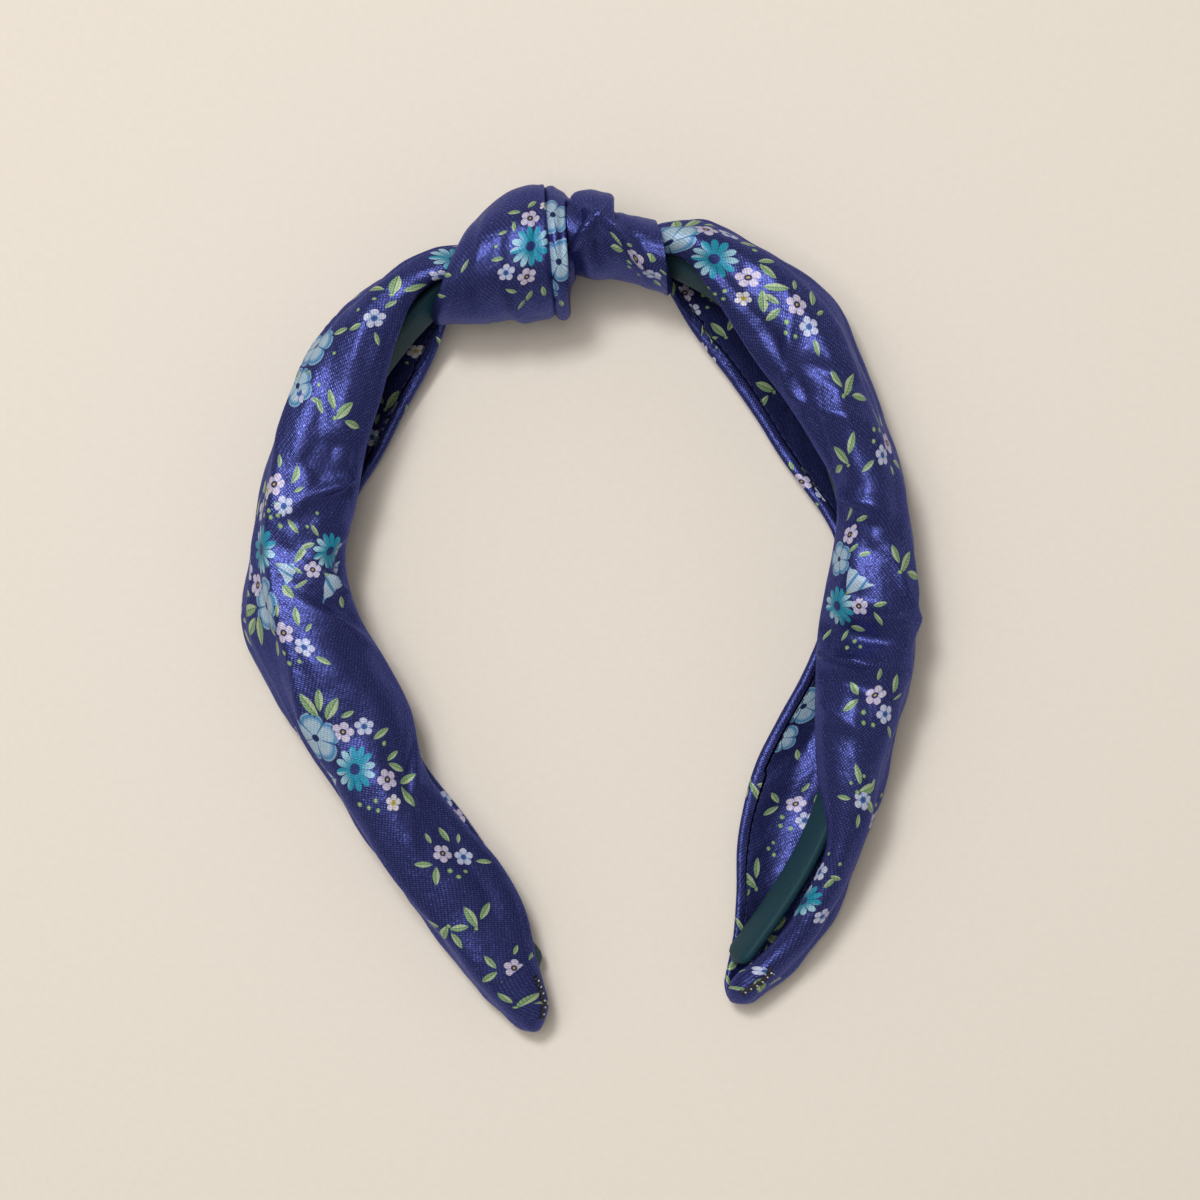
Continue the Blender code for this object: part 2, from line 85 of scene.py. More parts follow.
# Sleeve sections: distance from the pivot, upper lip r and z, ridge r, top z, outer r and z,
# bottom z, lower lip r and z, and half the flattened sleeve's own thickness.
LEFT_SLEEVE = (
    (-5, 0.6, 27, 2.2, 29, 4, 21, 12, -0.5, 15, 0.9),
    (0.5, 1.8, 29, 4.6, 32.4, 7.2, 21, 8.6, -1, 12.5, 0.9),
    (6, 3.2, 29.6, 6.6, 33, 9.6, 18, 7, -2.4, 12, 0.9),
    (10, 3.4, 29.6, 7.4, 32.6, 10.6, 15, 7, -4.4, 12, 1),
    (17, 1.2, 29.5, 8.6, 33, 12.4, 12, 3, -6.6, 8, 1.1),
    (30, -3.6, 28, 10.2, 33, 13.7, 9, 0.3, -8.2, 6, 1.1),
    (43, -5.7, 25.5, 9.4, 32.6, 12.5, 8, 0, -8.2, 6, 1.1),
    (56, -6.7, 21, 9.2, 32, 12.7, 7, 0, -5.4, 6, 1.1),
    (69, -5.4, 20, 9, 31, 14.3, 7, 0, -3.8, 6.5, 1.1),
    (82, -7, 20, 8, 30.6, 16.5, 7, 0, -4, 6, 1.1),
    (95, -10, 19, 7.6, 30, 13.6, 7, 0, -6, 5.5, 1.1),
    (108, -10.6, 18.5, 7.8, 28, 11.4, 7, 0, -7.2, 5, 1.1),
    (122, -6.6, 18.5, 7.6, 26.5, 10.8, 7, 0, -6.4, 5, 1.1),
    (135, -6.3, 17, 8.2, 24, 11.5, 7, 0, -6.8, 5.4, 1),
    (148, -6.8, 14, 9, 21, 12.5, 7, 0.2, -5.6, 5.4, 1),
    (160, -4.6, 12.6, 9.2, 18.6, 12.6, 7, 0.6, -3, 5.4, 0.9),
    (168, -0.8, 12, 9.6, 17, 12.9, 7, 1, 0.6, 5.2, 0.9),
    (174, 1.6, 11.4, 8.8, 15.4, 12.2, 7.4, 1.6, 2.6, 5.2, 0.8),
    (178, 3.4, 10.6, 8.2, 13.6, 11, 7.6, 2.6, 3.8, 5.6, 0.8),
    (181.6, 6.4, 9.6, 8.6, 12, 10, 7.8, 3.4, 6.6, 6.2, 0.8),
)
RIGHT_SLEEVE = (
    (-5, 0.6, 27, 2.2, 29, 4, 21, 12, -0.5, 15, 0.9),
    (0.5, 1.6, 29, 4.8, 32, 7.6, 20, 8.6, -1.2, 12.5, 0.9),
    (4, 2, 29.6, 6.2, 32.8, 9.8, 17, 7, -3.8, 11.5, 0.9),
    (12, -0.8, 30, 7.4, 33, 11.2, 13, 4, -8, 8, 1),
    (20, -3.4, 29, 9, 33.4, 12.8, 11, 1.5, -10, 6.5, 1.1),
    (31, -5.1, 28, 10.8, 33, 15.2, 9, 0, -10.7, 5.5, 1.1),
    (43, -4.4, 27, 9.4, 33, 13.2, 8, 0, -10.4, 5, 1.1),
    (54, -3.2, 26, 8.6, 32, 12.1, 7, 0, -9.4, 5, 1.1),
    (64, -1.8, 23.5, 8.2, 31.5, 11.7, 7, 0, -6.7, 6, 1.1),
    (70, -2.6, 22, 8, 31.2, 11.5, 7, 0, -4.6, 6, 1.1),
    (76, -4.2, 20.5, 7.8, 31, 11.3, 7, 0, -3.2, 6.5, 1.1),
    (86, -7, 20.5, 7.6, 31, 11.1, 7, 0, -4.6, 6, 1.1),
    (97, -8.6, 21, 7.4, 30, 10.9, 6, 0, -7.4, 5.5, 1.1),
    (108, -8, 22, 7, 30, 10.4, 6, 0, -10.5, 5, 1.1),
    (118, -6.4, 22, 6.4, 29, 9.8, 6, 0, -13.6, 4.6, 1.1),
    (129, -3.2, 22.5, 5.8, 27.5, 9.2, 6, 0, -15.9, 4.4, 1.1),
    (141, 3, 21, 6.4, 24.5, 9, 6, 0.2, -15.5, 4.4, 1),
    (152, 4.4, 17.5, 7.6, 20.8, 10.8, 6, 0.2, -12.4, 4.4, 1),
    (162, 4.8, 15, 8, 18, 11.2, 6, 0.6, -6.6, 4.4, 0.9),
    (170, 3.8, 13.6, 6.8, 16.2, 9.9, 6.4, 1, -1.9, 4.6, 0.9),
    (176, 2.4, 12, 5.6, 14.4, 8.2, 7, 1.8, 0.8, 5.2, 0.8),
    (180.6, 3.4, 10.4, 5, 12.4, 6.8, 7.6, 3, 2.8, 6.2, 0.8),
)
POCKET_FROM = {"left": 168, "right": 170}
SEAM_IN = 1.3
ROUND_OFF = 3.2

# Short creases of a sleeve: place along, share across from upper to lower lip, half length, half
# width, turn from the arm's direction in degrees, height.
LEFT_CREASES = (
    (52, 0.1, 7, 1.1, 55, 2.2), (57, 0.14, 8, 1.6, 52, -1.5), (47, 0.16, 8, 1.6, 50, -1),
    (66, 0.1, 8, 2, 60, 1), (74, 0.1, 8, 1.5, -48, 1.9), (79, 0.14, 8, 1.6, -52, -1.6),
    (84, 0.11, 8, 1.8, -40, 1.3), (71, 0.06, 6, 1.6, 10, -1.2), (70, 0.18, 9, 2, -60, -0.8),
    (118, 0.05, 8, 1.2, 38, -1.5), (123, 0.1, 9, 1.8, 32, 1.3), (130, 0.16, 9, 2, 24, -0.8),
)
RIGHT_CREASES = (
    (102, 0.12, 10, 1.5, 84, 2.4), (97, 0.14, 9, 1.6, 82, -1.8), (93, 0.21, 8, 1.4, 88, 1.9),
    (89, 0.24, 7, 1.6, 80, -1.3), (83, 0.24, 8, 2.2, 28, -1.8), (87, 0.33, 9, 1.6, 20, 0.7),
    (108, 0.18, 9, 2, 78, -1.2), (67, 0.08, 8, 1.4, 62, 1.7), (72, 0.14, 8, 1.6, 58, -1.5),
    (114, 0.1, 9, 1.8, 60, 1), (48, 0.1, 8, 1.6, 40, 1.2), (43, 0.18, 8, 1.8, 36, -1),
    (34, 0.1, 8, 1.5, -38, 1.1),
)
# Long folds of a sleeve: (place along, share across) points, half width, height.
LEFT_FOLDS = (
    (((16, 0.4), (40, 0.29), (52, 0.31), (64, 0.31), (76, 0.29), (84, 0.29), (96, 0.34),
      (108, 0.4)), 1.3, 1.1),
    (((20, 0.46), (40, 0.36), (64, 0.38), (84, 0.37), (104, 0.46)), 2.4, -0.8),
    (((-2, 0.1), (20, 0.13), (48, 0.1)), 2, 0.8),
    (((0, 0.24), (24, 0.21), (50, 0.17), (68, 0.2)), 2.6, -1),
    (((4, 0.02), (30, 0.045), (52, 0.05)), 0.5, -0.5),
    (((92, 0.1), (118, 0.2), (150, 0.26)), 3.2, 0.9),
    (((98, 0.24), (128, 0.11), (160, 0.16)), 2.4, -0.9),
    (((120, 0.3), (150, 0.36), (172, 0.3)), 2.2, 0.8),
    (((60, 0.42), (100, 0.5), (150, 0.44)), 2, 0.9),
)
RIGHT_FOLDS = (
    (((2, 0.05), (28, 0.08), (44, 0.07), (64, 0.04)), 1.3, -1.1),
    (((4, 0.16), (34, 0.2), (60, 0.14), (76, 0.22)), 2.2, 1),
    (((8, 0.3), (40, 0.3), (66, 0.26), (90, 0.36)), 2.2, -0.9),
    (((-2, 0.34), (20, 0.38), (48, 0.38)), 1.6, 0.9),
    (((62, 0.3), (80, 0.38), (104, 0.34)), 1.8, 0.9),
    (((104, 0.16), (130, 0.16), (156, 0.22)), 3, 1),
    (((108, 0.28), (136, 0.28), (166, 0.3)), 2.2, -0.8),
    (((90, 0.42), (120, 0.44), (160, 0.4)), 1.8, 0.9),
    (((112, 0.86), (130, 0.9), (156, 0.84)), 2.4, 1.1),
    (((100, 0.78), (124, 0.8), (150, 0.74)), 2.6, -1),
    (((10, 0.88), (40, 0.84), (60, 0.9)), 2.2, 0.9),
)

# The knot's wraps. Each row: share across, outer end x and y, inner end x and y, middle height,
# half height.
LEFT_LOBE = (
    (0, -24.2, 79, -31.6, 61.8, 21, 15.6),
    (0.1, -22.6, 81.4, -30.2, 60.6, 21, 17.6),
    (0.25, -19, 84.8, -26.2, 60.4, 21, 19.6),
    (0.45, -15, 88, -20.6, 60.4, 20.9, 21.3),
    (0.65, -11.8, 89.3, -15.2, 60.8, 20.8, 22.2),
    (0.85, -8.9, 89.5, -9.2, 61, 20.8, 22.4),
    (1, -6.9, 88.8, -4.8, 62, 20.8, 21),
)
PLEAT = (
    (0, -9.4, 87.4, -8.4, 64.6, 20.8, 18),
    (0.3, -6.4, 89, -5.2, 63, 20.8, 20.4),
    (0.55, -4.4, 88.5, -3.2, 63.2, 20.8, 20),
    (0.8, -2.4, 87.6, -1.6, 67, 20.8, 18.4),
    (1, -0.2, 86.4, -0.2, 70.6, 20.8, 15.6),
)
RIGHT_LOBE = (
    (0, -3.6, 84.6, -3.8, 72, 21, 15.2),
    (0.14, -1, 87, -1.2, 70.9, 21, 18.6),
    (0.29, 2.8, 88.3, 2.8, 69.8, 21, 20.6),
    (0.42, 6.4, 86.6, 6.8, 69.9, 21, 19.6),
    (0.52, 8.4, 84.2, 9.2, 69.4, 20.8, 18.2),
    (0.75, 12.8, 82.8, 14.2, 68.2, 20.6, 16.8),
    (0.92, 15.8, 81.9, 18.4, 67, 20.4, 16.6),
    (1, 16.8, 81, 19.8, 67.2, 20.4, 15.6),
)
# Creases of a wrap: share across, turn round it in degrees (0 outside, 90 on top), half length in
# degrees, half width as a share, slant (share per degree), height.
LEFT_LOBE_CREASES = (
    (0.34, 105, 60, 0.07, 0.0022, 0.7), (0.56, 118, 60, 0.07, 0.0018, -0.6),
    (0.93, 60, 60, 0.04, 0, 0.9), (0.84, 110, 60, 0.05, -0.0006, -0.7),
    (0.12, 150, 40, 0.05, 0, 0.7), (0.74, 165, 40, 0.05, 0.002, 0.9),
    (0.22, 60, 40, 0.05, 0.0016, -0.6),
)
PLEAT_CREASES = (
    (0.42, 80, 80, 0.12, 0.0006, 0.5), (0.62, 120, 50, 0.07, -0.0016, 0.8),
    (0.86, 95, 90, 0.1, 0, -1.3), (0.5, 190, 26, 0.16, 0, 1.6),
)
RIGHT_LOBE_CREASES = (
    (0.05, 90, 70, 0.05, 0, -1.2), (0.12, 72, 44, 0.045, -0.001, 1.7),
    (0.24, 94, 22, 0.04, -0.0045, 2.2), (0.5, 95, 26, 0.045, 0.009, 2.3),
    (0.34, 118, 20, 0.07, 0, -2), (0.62, 66, 30, 0.09, 0.004, -1.4), (0.18, 72, 24, 0.04, 0, -1.4),
    (0.5, 30, 34, 0.03, 0, -2), (0.42, 30, 30, 0.05, 0, 1.2),
    (0.72, 140, 40, 0.07, 0.0012, 0.9), (0.93, 120, 90, 0.03, 0, 0.9),
    (0.3, 150, 30, 0.1, 0.001, 0.9),
)

# ---- curves and meshes ----


def gaps(line):
    """The distances from each point of a line to the next."""
    return np.linalg.norm(np.diff(line, axis=0), axis=1)


def running(line):
    """How far along a line each of its points is."""
    return np.concatenate([[0], np.cumsum(gaps(line))])


def directions(line):
    """A line's unit direction at each of its points."""
    ahead = np.gradient(line, axis=0)
    return ahead / np.linalg.norm(ahead, axis=1)[:, None]


def curve_through(points, count):
    """Points spread evenly along a natural cubic spline through the given ones."""
    points = np.array(points, float)
    knots = running(points)
    gap = np.diff(knots)
    size = len(points)
    system, right = np.eye(size), np.zeros((size, points.shape[1]))
    for i in range(1, size - 1):
        system[i, i - 1 : i + 2] = gap[i - 1], 2 * (gap[i - 1] + gap[i]), gap[i]
        slopes = (points[i + 1] - points[i]) / gap[i] - (points[i] - points[i - 1]) / gap[i - 1]
        right[i] = 6 * slopes
    bend = np.linalg.solve(system, right)
    at = np.linspace(0, knots[-1], max(count * 4, 200))
    i = np.clip(np.searchsorted(knots, at, side="right") - 1, 0, size - 2)
    a, b, h = (knots[i + 1] - at)[:, None], (at - knots[i])[:, None], gap[i][:, None]
    line = (bend[i] * a**3 + bend[i + 1] * b**3) / (6 * h)
    line += (points[i] / h - bend[i] * h / 6) * a + (points[i + 1] / h - bend[i + 1] * h / 6) * b
    return evenly(line, count)


def evenly(line, count):
    """The same line with its points spread evenly."""
    along = running(line)
    even = np.linspace(0, along[-1], count)
    return np.stack([np.interp(even, along, line[:, k]) for k in range(line.shape[1])], axis=1)


def eased(at, rows):
    """The table's columns at one place along it, with slopes that run on from row to row."""
    rows = np.array(rows, float)
    place, values = rows[:, 0], rows[:, 1:]
    slopes = np.gradient(values, place, axis=0)
    at = min(max(at, place[0]), place[-1])
    i = min(int(np.searchsorted(place, at, side="right")) - 1, len(place) - 2)
    gap = place[i + 1] - place[i]
    t = (at - place[i]) / gap
    lead, trail = slopes[i] * gap, slopes[i + 1] * gap
    return (
        (2 * t**3 - 3 * t**2 + 1) * values[i] + (t**3 - 2 * t**2 + t) * lead
        + (3 * t**2 - 2 * t**3) * values[i + 1] + (t**3 - t**2) * trail
    )


HOOP_LINE = curve_through(HOOP, 1600)
HOOP_ALONG = running(HOOP_LINE)
CROWN = (HOOP_LINE[:, 1] > 0).nonzero()[0]
LEFT_PIVOT = float(np.interp(LEFT_PIVOT_X, HOOP_LINE[CROWN, 0], HOOP_ALONG[CROWN]))
RIGHT_PIVOT = float(np.interp(RIGHT_PIVOT_X, HOOP_LINE[CROWN, 0], HOOP_ALONG[CROWN]))


def hoop_frame(along):
    """(plan point, outward direction) of the hoop, run on straight past its ends."""
    inside = min(max(along, 0.5), HOOP_ALONG[-1] - 0.5)
    at = [inside, inside + 0.5, inside - 0.5]
    point, ahead, behind = (
        np.array([np.interp(a, HOOP_ALONG, HOOP_LINE[:, k]) for k in range(2)]) for a in at
    )
    direction = (ahead - behind) / np.linalg.norm(ahead - behind)
    return point + (along - inside) * direction, np.array([-direction[1], direction[0]])


def arm_along(side, distance):
    return LEFT_PIVOT - distance if side == "left" else RIGHT_PIVOT + distance


def hoop_height(along):
    span = HOOP_ALONG[-1]
    rows = ((0, TIP_HEIGHT), (span * 0.3, MIDDLE_HEIGHT), (LEFT_PIVOT, CROWN_HEIGHT),
            (RIGHT_PIVOT, CROWN_HEIGHT), (span * 0.72, MIDDLE_HEIGHT), (span, TIP_HEIGHT))
    return float(eased(along, rows)[0])


def placed(along, section):
    """Section points (r, z) set square across the hoop."""
    point, outward = hoop_frame(along)
    section = np.asarray(section, float)
    return np.hstack([point + section[:, :1] * outward, section[:, 1:]])


def put_in_scene(name, data, place=(0, 0, 0)):
    made = bpy.data.objects.new(name, data)
    made.location = place
    bpy.context.scene.collection.objects.link(made)
    return made


def outward_first(data):
    """Turns every face round if the closed body is inside out."""
    points = np.empty(len(data.vertices) * 3)
    data.vertices.foreach_get("co", points)
    data.calc_loop_triangles()
    corners = np.empty(len(data.loop_triangles) * 3, dtype=np.int32)
    data.loop_triangles.foreach_get("vertices", corners)
    a, b, c = points.reshape(-1, 3)[corners.reshape(-1, 3)].transpose(1, 0, 2)
    if np.einsum("ij,ij->i", a, np.cross(b, c)).sum() < 0:
        data.flip_normals()


def mesh_object(name, points, faces, flat=None):
    """A closed body of points in mm. flat holds each point's place on the flat cloth, in mm."""
    data = bpy.data.meshes.new(name)
    data.from_pydata([tuple(p) for p in np.asarray(points) * MM], [], faces)
    data.update()
    data.shade_smooth()
    data.set_sharp_from_angle(angle=math.radians(55))
    if flat is not None:
        corners = np.empty(len(data.loops), dtype=np.int32)
        data.loops.foreach_get("vertex_index", corners)
        layer = data.uv_layers.new(name="cloth")
        layer.data.foreach_set("uv", (np.asarray(flat)[corners] / 100).ravel())
    outward_first(data)
    return put_in_scene(name, data)


def ring_faces(rows, columns):
    """The faces of a tube of rings, with a cap on each end."""
    one = np.arange(rows * columns).reshape(rows, columns)
    turned = np.roll(one, -1, axis=1)
    quads = np.stack([one[:-1], one[1:], turned[1:], turned[:-1]], axis=-1).reshape(-1, 4)
    return quads.tolist() + [one[0].tolist(), one[-1][::-1].tolist()]


def grid_normals(grid, closed=False):
    """The unit normals of a grid of points, rows along and columns across."""
    down = np.gradient(grid, axis=0)
    if closed:
        across = (np.roll(grid, -1, axis=1) - np.roll(grid, 1, axis=1)) / 2
    else:
        across = np.gradient(grid, axis=1)
    normal = np.cross(down, across)
    return normal / np.maximum(np.linalg.norm(normal, axis=2), 1e-9)[:, :, None]


def sheet_body(name, grid, flat, thick, inward):
    """A closed sheet: the grid is its shown face, and inward points to its other face."""
    rows, columns = grid.shape[:2]
    points = np.vstack([grid.reshape(-1, 3), (grid + inward * thick).reshape(-1, 3)])
    count = rows * columns
    one = np.arange(count).reshape(rows, columns)
    quads = np.stack([one[:-1, :-1], one[1:, :-1], one[1:, 1:], one[:-1, 1:]], axis=-1)
    quads = quads.reshape(-1, 4)
    rim = np.concatenate([one[0, :-1], one[:-1, -1], one[-1, :0:-1], one[:0:-1, 0]])
    ahead = np.roll(rim, -1)
    sides = np.stack([rim, ahead, ahead + count, rim + count], axis=1)
    faces = np.vstack([quads, quads[:, ::-1] + count, sides])
    return mesh_object(name, points, faces.tolist(), np.vstack([flat.reshape(-1, 2)] * 2))


def soft_noise(points, size, seed):
    return np.array([noise.noise(Vector(p) / size + Vector((seed, 0, 0))) for p in points])


# ---- the sleeves ----


def sleeve_line(row, count):
    """The flattened sleeve's middle line in section, from its upper lip to its lower lip."""
    upper_r, upper_z, ridge_r, top_z, outer_r, outer_z, bottom_z, lower_r, lower_z, half = row
    top_z, outer_r, bottom_z = top_z - half, outer_r - half, bottom_z + half
    high = top_z - bottom_z
    line = curve_through([
        (upper_r, upper_z),
        (0.5 * (upper_r + ridge_r), top_z - 0.02 * high),
        (ridge_r, top_z - 0.07 * high),
        (0.4 * ridge_r + 0.6 * outer_r, 0.5 * (top_z + outer_z)),
        (outer_r, outer_z),
        (outer_r - 0.2 * (outer_r - lower_r), bottom_z + 0.14 * high),
        (0.5 * (outer_r + lower_r), bottom_z),
        (lower_r, lower_z),
    ], count)
    line[:, 0] = np.minimum(line[:, 0], outer_r + 0.2)
    line[:, 1] = np.maximum(line[:, 1], half + 0.05)
    return line


def relief(along, across, wide, creases, folds, seed):
    """How far each point of a section stands out: gathers at the knot, creases, folds, slack."""
    out = 0.8 * math.exp(-abs(along) / 20) * np.sin(across * 34 + 0.9 * math.sin(along / 9) + seed)
    for place, share, half_long, half_wide, turn, height in creases:
        a, b = along - place, (across - share) * wide
        c, s = math.cos(math.radians(turn)), math.sin(math.radians(turn))
        lengthwise, sideways = a * c + b * s, b * c - a * s
        out += 1.25 * height * np.exp(
            -((lengthwise / half_long) ** 2) - np.abs(sideways / half_wide) ** 1.6
        )
    for points, half_wide, height in folds:
        places = [place for place, _ in points]
        inside = min(along - places[0], places[-1] - along)
        if inside < -12:
            continue
        share = eased(along, points)[0]
        strength = 1 / (1 + math.exp(-(inside - 2) / 3))
        out += height * strength * np.exp(-np.abs((across - share) * wide / half_wide) ** 1.5)
    places = [Vector((along / 12, b / 8, seed)) for b in across * wide]
    out += 0.9 * np.array([noise.noise(place) for place in places])
    out += 0.22 * np.array([noise.noise(place * 2.4) for place in places])
    return out


def lip_turn(line, half, end):
    """A half circle round the lip at the line's end."""
    tip, inner = (line[0], line[1]) if end == 0 else (line[-1], line[-2])
    out = (tip - inner) / np.linalg.norm(tip - inner)
    side = np.array([-out[1], out[0]])
    turns = np.linspace(0, math.pi, 7)[1:-1]
    return [tip + half * (math.cos(t) * side + math.sin(t) * out) for t in turns]


def sleeve_loop(along, table, creases, folds, seed):
    """(outer path, inner path) of the sleeve at one place. The outer path rolls over both lips."""
    row = eased(along, table)
    line = sleeve_line(row, LINE_POINTS)
    half = row[-1]
    share = np.linspace(0, 1, LINE_POINTS)
    wide = gaps(line).sum()
    ahead = directions(line)
    side = np.stack([-ahead[:, 1], ahead[:, 0]], axis=1)
    fade = np.clip(np.minimum(share, 1 - share) * wide / 3.0, 0, 1) ** 0.7
    lift = half + fade * (0.5 + relief(along, share, wide, creases, folds, seed))
    hollow = half + fade * (0.35 + 0.6 * relief(along + 7, share, wide, (), (), seed + 2))
    outer = line + side * np.maximum(lift, 0.5)[:, None]
    inner = line - side * np.maximum(hollow, 0.5)[:, None]
    keep = (share * wide > SEAM_IN) & ((1 - share) * wide > SEAM_IN)
    first, last = inner[~keep & (share < 0.5)], inner[~keep & (share > 0.5)]
    lips = []
    for end, beside in ((0, first[0]), (1, outer[-1])):
        lip = np.array(lip_turn(line, half, end))
        near, far = (np.linalg.norm(lip[k] - beside) for k in (0, -1))
        lips.append(lip[::-1] if near > far else lip)
    whole = np.vstack([first[::-1], lips[0], outer, lips[1], last[::-1]])
    return evenly(whole, OUTER_POINTS), evenly(inner[keep], INNER_POINTS)


def rounded_off(loops, along, end):
    """Section loops shrunk round their middle towards the tip's end."""
    share = min(max((along - (end - ROUND_OFF)) / ROUND_OFF, 0), 0.985)
    scale = math.sqrt(1 - share**2)
    middle = np.vstack(loops).mean(axis=0)
    return [middle + (loop - middle) * scale for loop in loops]


def sleeve_rings(side, table, creases, folds, seed, places):
    """Grids of points of the outer and inner path."""
    end = table[-1][0]
    grids = ([], [])
    for place in places:
        loops = rounded_off(sleeve_loop(place, table, creases, folds, seed), place, end)
        for grid, loop in zip(grids, loops):
            grid.append(placed(arm_along(side, place), loop))
    grids = [np.array(grid) for grid in grids]
    for grid in grids:
        grid[:, :, 2] = np.maximum(grid[:, :, 2], 0.1)
    return grids


def flat_places(grid, places):
    """Each point's place on the flat cloth: along the arm, and across from the middle."""
    across = np.concatenate([
        np.zeros((len(grid), 1)), np.cumsum(np.linalg.norm(np.diff(grid, axis=1), axis=2), axis=1)
    ], axis=1)
    across -= across[:, -1:] / 2
    return np.stack([np.repeat(np.asarray(places)[:, None], grid.shape[1], axis=1), across], axis=2)


def add_sleeve(side, table, creases, folds, seed):
    pocket = POCKET_FROM[side]
    places = np.linspace(table[0][0], pocket, SLEEVE_ROWS)
    outer, inner = sleeve_rings(side, table, creases, folds, seed, places)
    made = []
    for panel, grid, sign in (("outer", outer, 1), ("inner", inner, -1)):
        flat = flat_places(grid, places)
        normal = grid_normals(grid)
        hub = np.array([placed(arm_along(side, p), [(2.0, 14.0)])[0] for p in places])[:, None]
        middle = grid.shape[1] // 2
        away = np.einsum("ijk,ijk->ij", normal, grid - hub)[:, middle].mean()
        normal *= sign * (1 if away > 0 else -1)
        piece = sheet_body(f"{side}_satin_{panel}", grid, flat, SATIN_THICK, -normal)
        made.append((piece, grid, flat))
    cup_places = np.linspace(pocket, table[-1][0], CUP_ROWS)
    outer, inner = sleeve_rings(side, table, creases, folds, seed, cup_places)
    cup = pocket_body(f"{side}_satin_cup", outer, inner, cup_places)
    return made, cup


def pocket_body(name, outer, inner, places):
    """The sleeve's last part, closed at its end, as one body round its own hollow."""
    grid = np.concatenate([outer, inner[:, ::-1]], axis=1)
    flat = flat_places(grid, places)
    made = mesh_object(name, grid.reshape(-1, 3), ring_faces(*grid.shape[:2]), flat.reshape(-1, 2))
    return made, outer, flat[:, : outer.shape[1]]


# ---- the knot ----


def wrap_grid(rows, creases, seed, wall=None):
    """A wrap's shown face, or its inner one a wall deeper: rows across it, columns round it."""
    shares = np.linspace(0, 1, WRAP_ROWS)
    turns = np.arange(WRAP_AROUND) * math.tau / WRAP_AROUND
    grid = []
    for share in shares:
        ox, oy, ix, iy, z, half_z = eased(share, rows)
        c, s = np.cos(turns), np.sin(turns)
        c, s = np.sign(c) * np.abs(c) ** 0.92, np.sign(s) * np.abs(s) ** 0.92
        x = (ox + ix) / 2 + (ox - ix) / 2 * c
        y = (oy + iy) / 2 + (oy - iy) / 2 * c
        grid.append(np.stack([x, y, z + half_z * s], axis=1))
    grid = np.array(grid)
    normal = grid_normals(grid, closed=True)
    middle = grid.mean(axis=1, keepdims=True)
    if np.einsum("ijk,ijk->ij", normal, grid - middle).mean() < 0:
        normal = -normal
    if wall is not None:
        return grid - normal * wall[:, None, None]
    degrees = np.degrees(turns)
    lift = np.zeros(grid.shape[:2])
    for share, turn, half_turn, half_share, slant, height in creases:
        off = (degrees - turn + 180) % 360 - 180
        centre = share + slant * off
        lift += height * np.exp(-((off / half_turn) ** 2)[None, :]
                                - ((shares[:, None] - centre[None, :]) / half_share) ** 2)
    lift += 0.35 * soft_noise(grid.reshape(-1, 3), 9.0, seed).reshape(lift.shape)
    edge = np.minimum(shares, 1 - shares)[:, None]
    rolled = -0.7 * np.clip(1 - edge / 0.05, 0, 1) ** 2
    return grid + normal * (lift + rolled)[:, :, None]


def add_wrap(name, rows, creases, seed, thick=1.6):
    """A wrap as one closed band with rolled edges."""
    outside = wrap_grid(rows, creases, seed)
    wall = thick + 0.6 * np.sin(np.linspace(0, math.pi, WRAP_ROWS))
    inside = wrap_grid(rows, creases, seed, wall)
    inside[:, :, 2] = np.maximum(inside[:, :, 2], 1.2)
    outside[:, :, 2] = np.maximum(outside[:, :, 2], 0.1)
    whole = np.concatenate([outside, inside[::-1]], axis=0)
    rows_count, columns = whole.shape[:2]
    one = np.arange(rows_count * columns).reshape(rows_count, columns)
    nxt, turned = np.roll(one, -1, axis=0), np.roll(one, -1, axis=1)
    both = np.roll(nxt, -1, axis=1)
    faces = np.stack([one, nxt, both, turned], axis=-1).reshape(-1, 4).tolist()
    steps = np.linalg.norm(np.diff(outside, axis=0, prepend=outside[:1]), axis=2)
    across = np.cumsum(steps, axis=0)
    across = np.concatenate([across, across[::-1]])
    around = running(outside[WRAP_ROWS // 2])
    flat = np.stack(np.broadcast_arrays(around[None, :], across), axis=2)
    made = mesh_object(name, whole.reshape(-1, 3), faces, flat.reshape(-1, 2))
    return made, outside, flat[:WRAP_ROWS]


# ---- the ribbon-wrapped hoop ----


def ribbon_ring(along, shrink=1.0):
    """A rounded flat section of the wrapped hoop, with the ribbon's slight unevenness."""
    height = hoop_height(along)
    turns = np.arange(RIBBON_AROUND) * math.tau / RIBBON_AROUND
    c, s = np.cos(turns), np.sin(turns)
    swell = 1 + 0.03 * math.sin(along * 0.8) + 0.02 * math.sin(along * 2.3)
    w = RIBBON_WIDE / 2 * np.sign(c) * np.abs(c) ** 0.55 * shrink
    t = RIBBON_THICK / 2 * np.sign(s) * np.abs(s) ** 0.7 * shrink * swell
    return placed(along, np.stack([
        w * math.sin(LEAN) + t * math.cos(LEAN), height + w * math.cos(LEAN) - t * math.sin(LEAN)
    ], axis=1))


def add_ribbon(name, start, end, round_end, share=1.0):
    """A stretch of the hoop, at a share of its full section."""
    places = np.linspace(start, end, max(6, int(abs(end - start) / 1.2)))
    rings = []
    for place in places:
        left = abs(end - place) / END_ROUND
        shrink = math.sqrt(1 - (1 - left) ** 2) if round_end and left < 1 else 1.0
        rings.append(ribbon_ring(place, max(shrink, 0.12) * share))
    grid = np.array(rings)
    around = np.linspace(0, RIBBON_GIRTH, RIBBON_AROUND)
    flat = np.stack(np.broadcast_arrays(np.abs(places - places[0])[:, None], around[None]), axis=2)
    return mesh_object(name, grid.reshape(-1, 3), ring_faces(*grid.shape[:2]), flat.reshape(-1, 2))


# ---- threads ----


